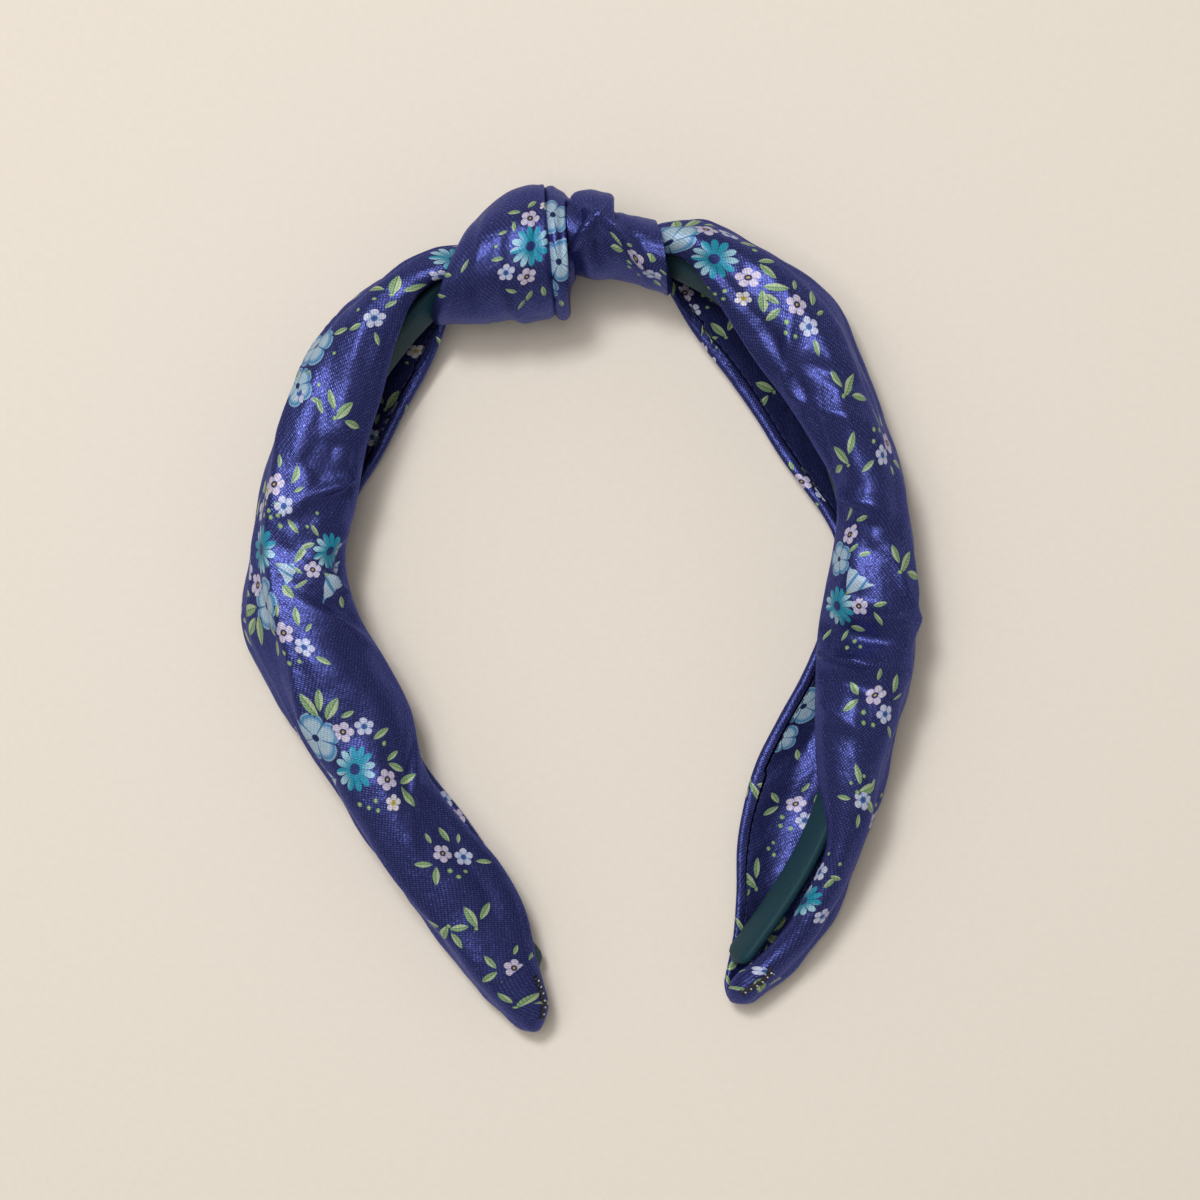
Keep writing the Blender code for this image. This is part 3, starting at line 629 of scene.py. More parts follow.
def tube(points, radius, sides=6):
    """Points and faces of one closed tube along a line."""
    points = np.asarray(points, float)
    ahead = directions(points)
    side = np.cross(ahead, (0.13, 0.21, 0.97))
    side /= np.linalg.norm(side, axis=1)[:, None]
    other = np.cross(ahead, side)
    turns = np.arange(sides) * math.tau / sides
    rings = (points[:, None] + radius * (np.cos(turns)[None, :, None] * side[:, None]
                                         + np.sin(turns)[None, :, None] * other[:, None]))
    return rings.reshape(-1, 3), ring_faces(len(points), sides)


def joined(name, parts):
    points, faces, start = [], [], 0
    for some_points, some_faces in parts:
        points.append(some_points)
        faces += [[k + start for k in face] for face in some_faces]
        start += len(some_points)
    return mesh_object(name, np.vstack(points), faces)


def add_glue_bead(name, along):
    """A bead of glue along the ribbon's outer face."""
    out = RIBBON_THICK / 2 + 0.7
    line = [placed(a, [(out * math.cos(LEAN), hoop_height(a) - out * math.sin(LEAN))])[0]
            for a in np.linspace(along - 2.8, along + 2.8, 9)]
    return joined(name, [tube(line, 0.33, 10)])


def add_seam_thread(name, line):
    """A fine seam: one short stitch after another along a line of points."""
    line = evenly(line, int(gaps(line).sum() / SEAM_STEP))
    parts = []
    for start in range(0, len(line) - 4, 5):
        stitch = line[start : start + 4].copy()
        stitch[[0, -1]] -= (line[start + 1] - line[start]) * 0.1
        parts.append(tube(stitch, 0.11, 5))
    return joined(name, parts)


def add_overlock(name, grid, points):
    """Black stitches over the cloth's edge along plan points, with pale thread between them."""
    normal = grid_normals(grid)
    line, lift = [], []
    for x, y in evenly(np.array(points, float), 60):
        row, column = seen_from_above(grid, x, y)
        line.append(grid[row, column])
        lift.append(normal[row, column])
    line = np.array(line)
    for _ in range(4):
        line[1:-1] = (line[:-2] + line[1:-1] * 2 + line[2:]) / 4
    up = np.mean(lift, axis=0)
    up *= np.sign(up[2]) / np.linalg.norm(up)
    line = evenly(line, int(gaps(line).sum() / STITCH_STEP) // 2 * 2 + 1)
    parts, dots = [tube(line + up * 0.1, 0.4, 8)], []
    for number, (point, forward) in enumerate(zip(line, directions(line))):
        side = np.cross(forward, up)
        if number % 2 == 0:
            turns = np.linspace(-1.0, 1.0, 7)
            arc = [point + side * 0.7 * t + up * (0.4 - 0.4 * t**2) + forward * 0.2 * t
                   for t in turns]
            parts.append(tube(arc, 0.28, 6))
        else:
            bar = [point + side * 0.14 * t + up * (0.5 - 0.06 * t**2) for t in (-1, 0, 1)]
            dots.append(tube(bar, 0.19, 6))
    made = joined(name, parts + dots)
    dark = sum(len(faces) for _, faces in parts)
    for face in list(made.data.polygons)[dark:]:
        face.material_index = 1
    return made


# ---- the print ----

DARK_EYED, BLUE_EYED, DAISY, BLOSSOM, LEAF, BERRY, BUD, YELLOW = range(1, 9)
# A motif's parts: kind, place x and y, turn in degrees, and size, its radius or half length.
BOUQUET = (
    (DAISY, 0, 0, 10, 4.7), (BLOSSOM, -8.4, 6, 20, 5.6), (DARK_EYED, -2.4, 7.5, 0, 2.3),
    (BLUE_EYED, 2, 8.6, 20, 2.1), (DARK_EYED, 7.1, -2.5, 40, 2.4), (YELLOW, 7.9, -7.4, 10, 1.8),
    (LEAF, -6.4, 14.3, 90, 2.6), (LEAF, -8.6, 12.9, 127, 3.1), (LEAF, -4, 12.6, 60, 3.1),
    (LEAF, -1, 11.4, 29, 1.7), (LEAF, 5.6, 7, 34, 2.2), (LEAF, 9, 2.6, 36, 1.8),
    (LEAF, 9.8, 0.2, -25, 2.2), (LEAF, 12.4, -2.4, 24, 2.5), (LEAF, 11.6, -6.4, -62, 2.8),
    (BERRY, 6.6, 5, 0, 0.65), (BERRY, 0.4, -7.1, 0, 0.65), (BERRY, 2.3, -7.9, 0, 0.6),
    (BERRY, 4, -6.6, 0, 0.6), (BERRY, 4.3, -8.6, 0, 0.6), (BUD, -7.2, -3.2, 200, 2.6),
    (LEAF, -6.4, -7.6, -70, 2.4), (LEAF, -11, -1.4, 190, 2.2),
)
SPRIG = (
    (DARK_EYED, 0, 0, 0, 2.2), (BLUE_EYED, 1.9, -4.3, 30, 2.1), (LEAF, -4.3, 2.3, -61, 2),
    (LEAF, -5.3, -1.2, 29, 2.2), (LEAF, 1.4, 4.2, 58, 1.4), (LEAF, 4.4, 1.6, 64, 2.1),
    (LEAF, 5.2, -1.4, 25, 1.2), (LEAF, 3, -8.4, -65, 1.8), (BERRY, -2.8, -3.1, 0, 0.7),
    (BERRY, -3.3, -5.2, 0, 0.65), (BERRY, -1.2, -6, 0, 0.6),
)
LEAVES = (
    (LEAF, 0, 0, 40, 2.9), (LEAF, -2.8, 2, 110, 2.2), (LEAF, 2, -2.8, -20, 2.4),
    (BERRY, -2.2, -1.6, 0, 0.6),
)
MIXED = (
    (DAISY, 0, 0, 10, 4.6), (DARK_EYED, 2.1, 15.5, 0, 2.1), (BLOSSOM, -0.4, 10.4, 30, 4),
    (BUD, 4.2, 5, 50, 3.4), (DARK_EYED, 5.6, 0.2, 20, 2), (LEAF, 4, 18.5, 10, 1.7),
    (LEAF, -0.6, 20, 80, 1.8), (LEAF, 3.8, 12.6, 40, 1.4), (LEAF, 6.4, 11.2, 10, 1.5),
    (LEAF, 10.1, 0.8, 15, 1.6), (LEAF, 9.2, -2.2, -65, 1.6), (LEAF, 4.6, -4.6, -10, 1.8),
    (LEAF, 1.6, -6.4, 70, 1.5), (LEAF, -3.4, -6.8, 70, 1.6), (BERRY, 4.2, -7.4, 0, 0.6),
    (BERRY, 5.6, -8.4, 0, 0.5), (BERRY, 2.8, -9, 0, 0.6),
)
CLUSTER = (
    (DAISY, 0, 0, 10, 4.2), (DARK_EYED, -4.8, -3, 0, 1.9), (BUD, -1.2, -7, -60, 3.4),
    (BUD, 2.6, -5.8, -20, 3), (LEAF, -4.9, 2.2, 185, 1.7), (LEAF, -2.6, 5, 110, 1.5),
    (LEAF, -7.8, -5.2, 200, 1.5), (LEAF, -8, -2.2, 130, 1.3), (LEAF, 2, -12.4, -70, 1.7),
    (BERRY, -4, 6, 0, 0.5), (BERRY, -1, 8.4, 0, 0.5),
)
KNOT = (
    (DAISY, 0, 0, 10, 4.4), (DARK_EYED, -0.8, 6, 0, 2.1), (BLUE_EYED, -4.7, -4.9, 20, 2),
    (DARK_EYED, -0.2, -6.4, 30, 2.1), (YELLOW, 2.2, 9, 0, 1.3), (LEAF, -0.8, 10, 60, 1.6),
    (LEAF, -4.4, 8.2, 165, 1.6), (LEAF, -4, 4.6, 100, 1.3), (LEAF, -6.9, -1.5, 170, 1.5),
    (LEAF, -6.4, 4, 175, 1.2), (LEAF, -3.4, -9.4, 160, 1.5), (LEAF, 0.6, -12.2, 70, 1.8),
    (LEAF, 3.6, -10.6, 100, 1.7), (LEAF, -1, -14.2, 60, 1.6), (BERRY, -7.6, 1.4, 0, 0.5),
)
PATTERNS = {
    "bouquet": BOUQUET, "sprig": SPRIG, "leaves": LEAVES, "mixed": MIXED, "cluster": CLUSTER,
    "knot": KNOT,
    "single": (
        (BLUE_EYED, 0, 0, 0, 2.2), (LEAF, -4.2, 0.4, 170, 1.6), (LEAF, -1.2, -4.2, -100, 1.5),
        (LEAF, 3.4, 2.8, 40, 1.5), (BERRY, -2.4, 3.4, 0, 0.5), (BERRY, 1, 4.6, 0, 0.5),
    ),
    "blossoms": (
        (BLOSSOM, 0, 0, 0, 4.9), (BLOSSOM, -3.6, -7.4, 30, 4), (LEAF, 6.4, 1, 10, 1.8),
        (LEAF, 0.6, -12.6, -80, 1.6), (BERRY, 5.2, -3.2, 0, 0.5),
    ),
    "daisies": (
        (DAISY, 0, 0, 0, 4.2), (DARK_EYED, 1, 6.8, 0, 2.1), (BLUE_EYED, -3.2, -5.8, 0, 2),
        (LEAF, 5.6, 1.4, 20, 1.7), (LEAF, 4.6, -4.4, -40, 1.7),
    ),
    "blossom": ((BLOSSOM, 0, 0, 0, 4.6),), "leaf": ((LEAF, 0, 0, 0, 1.7),),
    "yellow": (
        (YELLOW, 0, 0, 0, 2), (LEAF, -3.6, -1.2, 200, 1.7), (LEAF, 0.6, -4, -80, 1.6),
        (LEAF, 2.6, 2.6, 40, 1.4), (BERRY, -1.6, 3, 0, 0.5),
    ),
    "berries": ((BERRY, 0, 0, 0, 0.6), (BERRY, 1.7, 0.6, 0, 0.5), (BERRY, 0.4, -1.8, 0, 0.6)),
}
# Where motifs lie, as seen from above: x, y, turn in degrees, pattern.
PLACES = {
    "left_satin_outer": (
        (-47, -33.5, 0, "bouquet"), (-28.5, -52, 60, "sprig"), (-12, -78, 10, "sprig"),
        (-42.5, 60.5, 20, "single"), (-49, 41.5, 0, "leaves"), (-56, 56, 0, "blossoms"),
        (-63.5, 26, 0, "sprig"), (-68, 12, 126, "bouquet"), (-52, 12, 0, "cluster"),
        (-62, -5.5, 30, "sprig"), (-38.5, 68, 40, "leaves"), (-58.5, 45, -60, "single"),
        (-26, 73, 0, "daisies"), (-23, -65.5, 80, "leaves"), (-29, -69.5, 200, "leaves"),
    ),
    "left_satin_inner": (
        (-35, 55.5, 120, "yellow"), (-40.5, 44.5, 20, "leaves"), (-43, 36, 40, "single"),
        (-30, -45.5, -40, "leaves"),
    ),
    "left_satin_cup": (
        (-11, -83.5, 30, "leaves"),
    ),
    "right_satin_outer": (
        (28, 73, -14, "bouquet"), (46, 63.5, 10, "sprig"), (53.5, 1, 0, "mixed"),
        (62, -18, 0, "sprig"), (56.5, 47, 20, "leaves"), (54.5, 32, 100, "leaves"),
        (66, 35, -70, "sprig"), (49.5, -55.5, -60, "single"), (46.5, -61.5, 80, "daisies"),
        (60.5, -38, -20, "leaves"), (59.5, -40, 0, "single"),
        (68.5, 10, 10, "leaves"),
    ),
    "right_satin_inner": (
        (46.5, -42, 0, "sprig"), (40, 48, 120, "leaves"), (46, -20.5, 0, "blossoms"),
        (30, 60, 90, "leaves"), (35, -58.5, 100, "leaves"), (41, -52, 30, "berries"),
    ),
    "right_satin_cup": (
        (38.5, -80.5, 60, "leaves"), (46, -72, 0, "single"),
    ),
    "knot_left_satin": (
        (-10, 75, 0, "knot"), (-27.5, 69, -30, "leaf"), (-29.5, 65, -25, "leaf"),
        (-23.5, 71, 70, "leaf"),
    ),
    "knot_pleat_satin": (
        (-4, 71.5, 0, "blossoms"), (-5.5, 81.5, 30, "blossom"),
    ),
    "knot_right_satin": (
        (12, 73, 17, "sprig"),
    ),
}


def seen_from_above(grid, x, y):
    """(row, column) of the grid's point over x, y: the highest one near it that faces up."""
    off = np.linalg.norm(grid[:, :, :2] - (x, y), axis=2)
    near = off < max(off.min() + 1.0, 1.4)
    score = np.where(near, grid[:, :, 2] - 2 * off, -1e9)
    return np.unravel_index(int(np.argmax(score)), score.shape)


def laid_out(grid, flat, x, y, turn, pattern):
    """A pattern's parts on the flat cloth: kind, place, direction and size."""
    row, column = seen_from_above(grid, x, y)
    row = min(max(row, 1), grid.shape[0] - 2)
    column = min(max(column, 1), grid.shape[1] - 2)
    steps = []
    for drow, dcolumn in ((1, 0), (0, 1)):
        one, two = (row - drow, column - dcolumn), (row + drow, column + dcolumn)
        steps.append((grid[two][:2] - grid[one][:2], flat[two] - flat[one]))
    plan = np.array([s[0] for s in steps]).T
    cloth = np.array([s[1] for s in steps]).T
    spin, _, other = np.linalg.svd(cloth @ np.linalg.pinv(plan))
    turned = spin @ other
    made = []
    c, s = math.cos(math.radians(turn)), math.sin(math.radians(turn))
    for kind, px, py, angle, size in PATTERNS[pattern]:
        place = flat[row, column] + turned @ (px * c - py * s, px * s + py * c)
        way = math.radians(angle + turn)
        ahead = turned @ (math.cos(way), math.sin(way))
        made.append((kind, *place, *ahead, size))
    return made


def scattered(grid, flat, taken, seed):
    """Sprigs and leaves over the undersides, which the named places leave bare."""
    random = np.random.default_rng(seed)
    low = grid[:, :, 2] < np.percentile(grid[:, :, 2], 45)
    made = []
    for _ in range(80):
        row, column = random.integers(grid.shape[0]), random.integers(grid.shape[1])
        way, pattern = random.uniform(0, math.tau), "sprig" if random.random() < 0.7 else "leaves"
        x, y = flat[row, column]
        clear = [math.hypot(x - part[1], y - part[2]) for part in taken + made]
        if not low[row, column] or (clear and min(clear) < 9.5):
            continue
        ahead = np.array([math.cos(way), math.sin(way)])
        side = np.array([-ahead[1], ahead[0]])
        for kind, px, py, angle, size in PATTERNS[pattern]:
            place = flat[row, column] + px * ahead + py * side
            turn = way + math.radians(angle)
            made.append((kind, *place, math.cos(turn), math.sin(turn), size))
    return made


def print_on(made, grid, flat, seed):
    """Gives each face its place in the nearest printed part, as the UV map that the satin reads."""
    parts = []
    for x, y, turn, pattern in PLACES[made.name]:
        parts += laid_out(grid, flat, x, y, turn, pattern)
    parts += scattered(grid, flat, parts, seed)
    parts = np.array(parts)
    data = made.data
    cloth = np.empty(len(data.loops) * 2)
    data.uv_layers["cloth"].data.foreach_get("uv", cloth)
    cloth = cloth.reshape(-1, 2) * 100
    starts = np.empty(len(data.polygons), dtype=np.int32)
    counts = np.empty(len(data.polygons), dtype=np.int32)
    data.polygons.foreach_get("loop_start", starts)
    data.polygons.foreach_get("loop_total", counts)
    centre = np.add.reduceat(cloth, starts, axis=0) / counts[:, None]
    best = np.full(len(starts), np.inf)
    pick = np.zeros(len(starts), dtype=int)
    for k, (kind, x, y, ax, ay, size) in enumerate(parts):
        off = (centre - (x, y)) / size
        ahead, side = off @ (ax, ay), off @ (-ay, ax)
        reach = np.hypot(ahead, side * (2.2 if kind == LEAF else 1.0)) ** (1.0 if size > 1 else 0.9)
        closer = reach < best
        best[closer], pick[closer] = reach[closer], k
    face = np.repeat(np.arange(len(starts)), counts)
    kind, x, y, ax, ay, size = parts[pick[face]].T
    off = (cloth - np.stack([x, y], axis=1)) / size[:, None]
    ahead = off[:, 0] * ax + off[:, 1] * ay
    side = -off[:, 0] * ay + off[:, 1] * ax
    blank = best[face] > 1.5
    kind = np.where(blank, 0, kind)
    u = kind + 0.5 + np.clip(ahead, -1.9, 1.9) / 4
    v = 0.5 + np.clip(side, -1.9, 1.9) / 4
    layer = data.uv_layers.new(name="print")
    layer.data.foreach_set("uv", np.stack([u, v], axis=1).ravel())


# ---- materials ----


class Maths:
    """A material whose number and colour nodes are built from plain sums."""

    def __init__(self, name):
        self.made = bpy.data.materials.new(name)
        self.made.use_nodes = True
        self.nodes, self.links = self.made.node_tree.nodes, self.made.node_tree.links
        self.shader = self.nodes["Principled BSDF"].inputs

    def put(self, value, socket):
        if isinstance(value, bpy.types.NodeSocket):
            self.links.new(value, socket)
        else:
            socket.default_value = value

    def calc(self, operation, *values):
        node = self.nodes.new("ShaderNodeMath")
        node.operation = operation
        for value, socket in zip(values, node.inputs):
            self.put(value, socket)
        return node.outputs[0]

    def times(self, one, two):
        return self.calc("MULTIPLY", one, two)

    def plus(self, one, two):
        return self.calc("ADD", one, two)

    def minus(self, one, two):
        return self.calc("SUBTRACT", one, two)

    def between(self, value, low, high, start=0.0, end=1.0):
        """value's smooth step from low to high, turned to the range start to end."""
        node = self.nodes.new("ShaderNodeMapRange")
        node.interpolation_type = "SMOOTHSTEP"
        for given, socket in zip((value, low, high, start, end), node.inputs):
            self.put(given, socket)
        return node.outputs[0]

    def mix(self, share, one, two):
        node = self.nodes.new("ShaderNodeMixRGB")
        self.put(share, node.inputs[0])
        for colour, socket in ((one, node.inputs[1]), (two, node.inputs[2])):
            self.put((*colour, 1) if isinstance(colour, tuple) else colour, socket)
        return node.outputs[0]

    def cloth_map(self, name):
        """(place, u, v) of one of the cloth's UV maps."""
        place = self.nodes.new("ShaderNodeUVMap")
        place.uv_map = name
        split = self.nodes.new("ShaderNodeSeparateXYZ")
        self.links.new(place.outputs[0], split.inputs[0])
        return place.outputs[0], split.outputs[0], split.outputs[1]

    def grain(self, place, scale, detail=2.0):
        node = self.nodes.new("ShaderNodeTexNoise")
        for name, value in (("Vector", place), ("Scale", scale), ("Detail", detail)):
            self.put(value, node.inputs[name])
        return node.outputs["Fac"]

    def bump(self, height, strength, distance):
        node = self.nodes.new("ShaderNodeBump")
        for name, value in (("Height", height), ("Strength", strength), ("Distance", distance)):
            self.put(value, node.inputs[name])
        self.put(node.outputs["Normal"], self.shader["Normal"])


def plain(name, colour, roughness, bump=0.0, scale=400.0, change=0.2, specular=0.5):
    """A Principled material with slight colour change and a fine bump."""
    m = Maths(name)
    grain = m.grain(m.nodes.new("ShaderNodeTexCoord").outputs["Object"], scale)
    dark, light = (tuple(min(c * (1 + k), 1) for c in colour) for k in (-change, change))
    m.put(m.mix(grain, dark, light), m.shader["Base Color"])
    m.put(roughness, m.shader["Roughness"])
    m.put(specular, m.shader["Specular IOR Level"])
    if bump:
        m.bump(grain, bump, 0.0002)
    return m.made


def petals(m, angle, reach, count, depth, power):
    """(mask, cosine across a petal) of a flower with round petals."""
    wave = m.calc("ABSOLUTE", m.calc("COSINE", m.times(angle, count / 2)))
    edge = m.plus(m.times(m.calc("POWER", wave, power), depth), 1 - depth)
    return m.between(m.minus(edge, reach), 0.0, 0.07), wave


def printed(m, ground):
    """The print's colours over the ground colour, and how much print there is."""
    _, u, v = m.cloth_map("print")
    kind = m.calc("FLOOR", u)
    x = m.times(m.minus(m.calc("FRACT", u), 0.5), 4.0)
    y = m.times(m.minus(v, 0.5), 4.0)
    reach = m.calc("SQRT", m.plus(m.times(x, x), m.times(y, y)))
    angle = m.calc("ARCTAN2", y, x)
    colour = ground
    whole = 0.0

    def lay(number, mask, ink):
        nonlocal colour, whole
        here = m.calc("COMPARE", kind, float(number), 0.5)
        shown = m.times(here, mask)
        colour = m.mix(shown, colour, ink)
        whole = m.calc("MAXIMUM", whole, shown)

    for number, white, rim, eye, dot in (
        (DARK_EYED, (0.72, 0.66, 0.82), (0.50, 0.46, 0.72), (0.02, 0.02, 0.07), (0.62, 0.45, 0.05)),
        (BLUE_EYED, (0.66, 0.70, 0.88), (0.34, 0.42, 0.76), (0.03, 0.16, 0.40), (0.10, 0.05, 0.30)),
        (YELLOW, (0.78, 0.76, 0.80), (0.50, 0.52, 0.62), (0.62, 0.45, 0.03), (0.25, 0.40, 0.10)),
    ):
        mask, wave = petals(m, angle, reach, 5, 0.42, 0.55)
        ink = m.mix(m.between(wave, 0.15, 0.6), rim, white)
        ink = m.mix(m.between(reach, 0.36, 0.26), ink, eye)
        ink = m.mix(m.between(reach, 0.15, 0.09), ink, dot)
        lay(number, mask, ink)

    mask, wave = petals(m, angle, reach, 12, 0.55, 0.5)
    gap = m.between(m.minus(wave, m.times(reach, 0.35)), -0.08, 0.02)
    pale = m.between(m.calc("SINE", m.plus(m.times(angle, 2.5), 1.0)), -0.2, 0.7)
    tip = m.mix(pale, (0.02, 0.36, 0.50), (0.46, 0.74, 0.86))
    ink = m.mix(m.between(reach, 0.25, 0.85), (0.01, 0.30, 0.42), tip)
    streak = m.calc("SINE", m.times(angle, 48.0))
    ink = m.mix(m.times(m.between(streak, 0.2, 1.0), 0.25), ink, (0.01, 0.24, 0.36))
    ink = m.mix(m.between(reach, 0.27, 0.22), ink, (0.015, 0.03, 0.13))
    lay(DAISY, m.times(mask, gap), ink)

    mask, wave = petals(m, angle, reach, 5, 0.34, 0.42)
    edge = m.plus(m.times(m.calc("POWER", wave, 0.42), 0.34), 0.66)
    ratio = m.calc("DIVIDE", reach, edge)
    ink = m.mix(m.between(ratio, 0.62, 0.86), (0.50, 0.68, 0.80), (0.07, 0.28, 0.55))
    ink = m.mix(m.between(ratio, 0.86, 0.96), ink, (0.40, 0.62, 0.82))
    streak = m.calc("SINE", m.times(angle, 40.0))
    ink = m.mix(m.times(m.between(streak, 0.1, 1.0), 0.35), ink, (0.20, 0.42, 0.62))
    ink = m.mix(m.between(wave, 0.24, 0.05), ink, (0.05, 0.20, 0.42))
    ink = m.mix(m.between(reach, 0.17, 0.12), ink, (0.01, 0.02, 0.08))
    lay(BLOSSOM, mask, ink)

    wide = m.times(m.minus(1.0, m.times(x, x)), 0.36)
    out = m.minus(wide, m.calc("ABSOLUTE", y))
    ink = m.mix(m.between(y, -0.05, 0.05), (0.22, 0.40, 0.13), (0.46, 0.60, 0.30))
    vein = m.calc("SINE", m.plus(m.times(x, 22.0), m.times(m.calc("ABSOLUTE", y), -26.0)))
    ink = m.mix(m.times(m.between(vein, 0.0, 1.0), 0.45), ink, (0.66, 0.74, 0.46))
    ink = m.mix(m.between(m.calc("ABSOLUTE", y), 0.05, 0.02), ink, (0.14, 0.28, 0.10))
    lay(LEAF, m.between(out, 0.0, 0.06), ink)

    ink = m.mix(m.between(reach, 0.2, 0.7), (0.48, 0.62, 0.22), (0.20, 0.38, 0.16))
    lay(BERRY, m.between(reach, 0.86, 0.74), ink)

    fan = m.minus(m.times(m.plus(x, 1.0), 0.62), m.calc("ABSOLUTE", y))
    scallop = m.times(m.calc("ABSOLUTE", m.calc("SINE", m.times(y, 4.4))), 0.14)
    top = m.minus(m.plus(0.66, scallop), x)
    mask = m.times(m.between(fan, 0.0, 0.08), m.between(top, 0.0, 0.08))
    ink = m.mix(m.between(x, -0.9, -0.4), (0.30, 0.46, 0.10), (0.50, 0.66, 0.80))
    streak = m.calc("SINE", m.times(y, 9.0))
    ink = m.mix(m.between(streak, 0.5, 0.95), ink, (0.08, 0.28, 0.52))
    lay(BUD, mask, ink)
    return colour, whole


def satin_material():
    """Navy satin: a fine diagonal twill, bumped and with painted glints in its colour, with the
    flowers printed on it.
    """
    m = Maths("satin")
    place, u, v = m.cloth_map("cloth")
    across = m.plus(m.times(u, 0.78), m.times(v, 0.62))
    length = m.minus(m.times(v, 0.78), m.times(u, 0.62))
    twill = m.calc("SINE", m.times(across, math.tau * 100 / TWILL))
    float_end = m.calc("SINE", m.times(length, math.tau * 100 / FLOAT_LONG))
    glint_noise, slack = m.grain(place, 230.0, 3.0), m.grain(place, 24.0, 3.0)
    dots = m.times(m.between(twill, -0.7, 0.9), m.between(float_end, -1.2, 0.4))
    # The twill's dots are lighter than its gaps: the weave's pattern, with painted glints on its
    # floats.
    thread = m.times(dots, m.between(glint_noise, 0.32, 0.62))
    ground = m.mix(thread, (0.032, 0.039, 0.150), (0.100, 0.122, 0.440))
    # Bright random specks over the satin: painted glints.
    ground = m.mix(m.between(glint_noise, 0.64, 0.74), ground, (0.19, 0.21, 0.62))
    colour, ink = printed(m, ground)
    # The print is darkened towards navy between the twill's dots: the weave's pattern, with painted
    # shade in its gaps.
    gap_shade = m.times(m.between(thread, 0.35, 0.0), m.times(ink, 0.35))
    m.put(m.mix(gap_shade, colour, (0.02, 0.03, 0.14)), m.shader["Base Color"])
    m.put(m.minus(0.72, m.times(ink, 0.57)), m.shader["Metallic"])
    rough = m.between(glint_noise, 0.35, 0.65, 0.46, 0.33)
    m.put(m.plus(rough, m.times(ink, 0.08)), m.shader["Roughness"])
    m.put(0.5, m.shader["Specular IOR Level"])
    m.put((0.42, 0.46, 0.9, 1), m.shader["Specular Tint"])
    height = m.plus(m.times(dots, 0.2), m.times(glint_noise, 0.7))
    m.bump(m.plus(height, m.times(slack, 5.0)), 1.0, 0.0001)
    return m.made


SATIN = satin_material()
RIBBON = plain("ribbon", (0.009, 0.044, 0.064), 0.6, 0.5, 1400.0, specular=0.25)
THREAD = plain("overlock_thread", (0.012, 0.012, 0.02), 0.7)
PALE_THREAD = plain("pale_thread", (0.62, 0.63, 0.68), 0.6)
SEAM = plain("seam_thread", (0.03, 0.03, 0.12), 0.6)
PLASTIC = plain("hoop_plastic", (0.6, 0.6, 0.58), 0.4, 0.2)
GLUE = plain("glue", (0.75, 0.7, 0.55), 0.4, 0.2)

# ---- build ----


def stand_in(piece, node, material, body=None):
    """piece takes a CAD node's place. It rides on body, if one is given."""
    if body:
        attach(piece, body)
    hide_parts(node)
    piece.data.materials.append(material)


def bend_at_the_knot(piece):
    """Bakes the piece's transform into its mesh; the piece does not bend."""
    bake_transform(piece)


LEFT_MADE, LEFT_CUP = add_sleeve("left", LEFT_SLEEVE, LEFT_CREASES, LEFT_FOLDS, 0.7)
RIGHT_MADE, RIGHT_CUP = add_sleeve("right", RIGHT_SLEEVE, RIGHT_CREASES, RIGHT_FOLDS, 4.2)
WRAPS = []
for name, node, rows, creases, seed in (
    ("knot_left_satin", "knot_left_lobe", LEFT_LOBE, LEFT_LOBE_CREASES, 3.0),
    ("knot_pleat_satin", "knot_centre_pleat", PLEAT, PLEAT_CREASES, 7.0),
    ("knot_right_satin", "knot_right_lobe", RIGHT_LOBE, RIGHT_LOBE_CREASES, 11.0),
):
    WRAPS.append(add_wrap(name, rows, creases, seed))
    stand_in(WRAPS[-1][0], node, SATIN, "crown")

hoop_end = HOOP_ALONG[-1]
for side, start, end in (
    ("left", LEFT_PIVOT - CORE_START, CORE_SHORT),
    ("right", RIGHT_PIVOT + CORE_START, hoop_end - CORE_SHORT),
):
    strip = add_ribbon(f"{side}_core", start, end, True, CORE_SHARE)
    stand_in(strip, f"{side}_band_core", PLASTIC, f"{side}_arm")
for side, at in (("left", GLUE_BACK), ("right", hoop_end - GLUE_BACK)):
    bead = add_glue_bead(f"{side}_glue_bead", at)
    stand_in(bead, f"{side}_tip_glue_pad", GLUE, f"{side}_arm")
for side, body, start, end in (
    ("left", "left_arm", LEFT_PIVOT - HALF_GAP, 0.0),
    ("crown", "crown", LEFT_PIVOT + HALF_GAP, RIGHT_PIVOT - HALF_GAP),
    ("right", "right_arm", RIGHT_PIVOT + HALF_GAP, hoop_end),
):
    ribbon = add_ribbon(f"{side}_ribbon", start, end, side != "crown")
    stand_in(ribbon, f"{side}_ribbon_wrap", RIBBON, body)

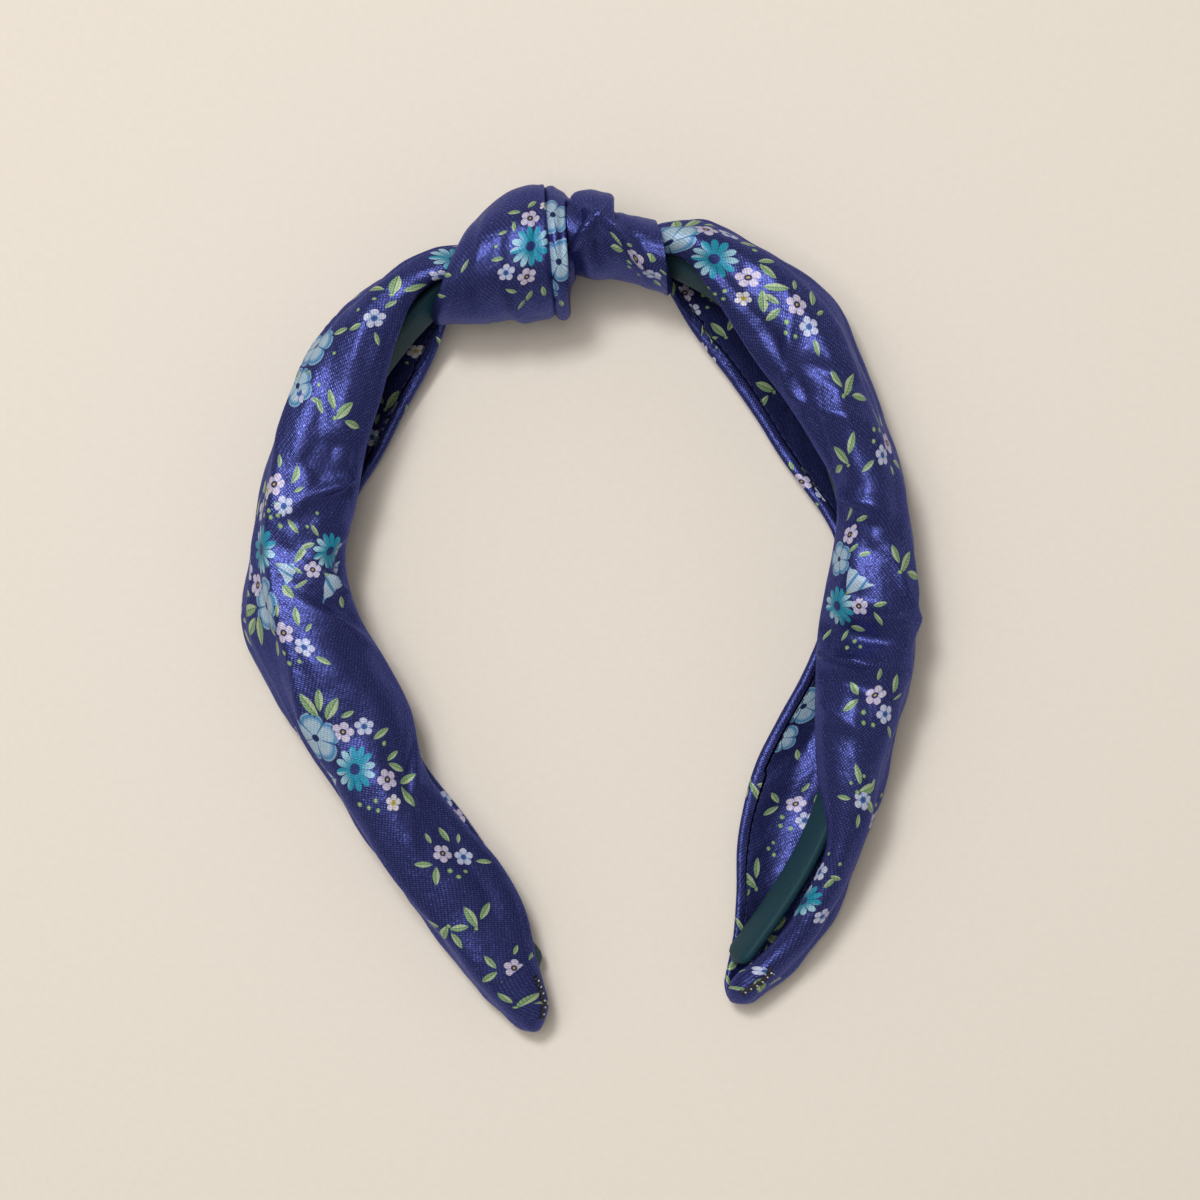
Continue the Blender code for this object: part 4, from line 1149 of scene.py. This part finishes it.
for side, made, cup in (("left", LEFT_MADE, LEFT_CUP), ("right", RIGHT_MADE, RIGHT_CUP)):
    for (piece, _, _), panel in zip(made, ("outer", "inner")):
        bend_at_the_knot(piece)
        stand_in(piece, f"{side}_sleeve_{panel}_panel", SATIN)
    stand_in(cup[0], f"{side}_tip_pocket", SATIN, f"{side}_arm")
    inner_grid = made[1][1]
    for edge, column in (("upper", 0), ("lower", -1)):
        seam = add_seam_thread(f"{side}_{edge}_seam", inner_grid[6:, column])
        bend_at_the_knot(seam)
        stand_in(seam, f"{side}_sleeve_{edge}_seam", SEAM)

for side, cup, points in (
    ("left", LEFT_CUP, ((-9.2, -78.6), (-8.0, -81.6), (-7.4, -84.6), (-7.8, -87.6))),
    ("right", RIGHT_CUP, ((45.4, -72.4), (42.6, -76.0), (38.6, -79.6), (34.6, -82.0))),
):
    thread = add_overlock(f"{side}_overlock", cup[1], points)
    stand_in(thread, f"{side}_tip_overlock_thread", THREAD, f"{side}_arm")
    thread.data.materials.append(PALE_THREAD)

for seed, satin in enumerate([*LEFT_MADE, *RIGHT_MADE, LEFT_CUP, RIGHT_CUP, *WRAPS]):
    print_on(*satin, seed)
for name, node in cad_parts.items():
    for ending, material in (("band_core", PLASTIC), ("glue_pad", GLUE)):
        if name.endswith(ending):
            node.data.materials.clear()
            node.data.materials.append(material)

# ---- floor, camera and light ----

bpy.ops.mesh.primitive_plane_add(size=4, location=(0, 0, -0.0001))
floor = bpy.context.object
floor.name = "floor"
floor.data.materials.append(plain("card", (0.84, 0.775, 0.70), 0.85, 0.12, 700.0, 0.03))

camera_data = bpy.data.cameras.new("camera")
camera_data.angle = math.radians(16.2)
bpy.context.scene.camera = put_in_scene("camera", camera_data, (0.0044, 0.0018, 0.913))
bpy.context.scene.view_settings.view_transform = "Standard"


def area_light(name, place, size, power, colour):
    """A square light aimed at the origin, inside the hoop."""
    data = bpy.data.lights.new(name, "AREA")
    data.shape = "RECTANGLE"
    data.size = data.size_y = size
    data.energy = power
    data.color = colour
    made = put_in_scene(name, data, place)
    made.rotation_euler = (-Vector(place)).to_track_quat("-Z", "Y").to_euler()


area_light("key", (-0.24, 0.40, 1.36), 0.22, 7.6, (0.98, 0.985, 1.0))
area_light("window", (-0.20, 0.16, 1.22), 0.6, 6.0, (1.0, 0.965, 0.91))
world = bpy.data.worlds.new("world")
world.use_nodes = True
world.node_tree.nodes["Background"].inputs["Color"].default_value = (1.0, 0.945, 0.84, 1)
world.node_tree.nodes["Background"].inputs["Strength"].default_value = 0.26
bpy.context.scene.world = world
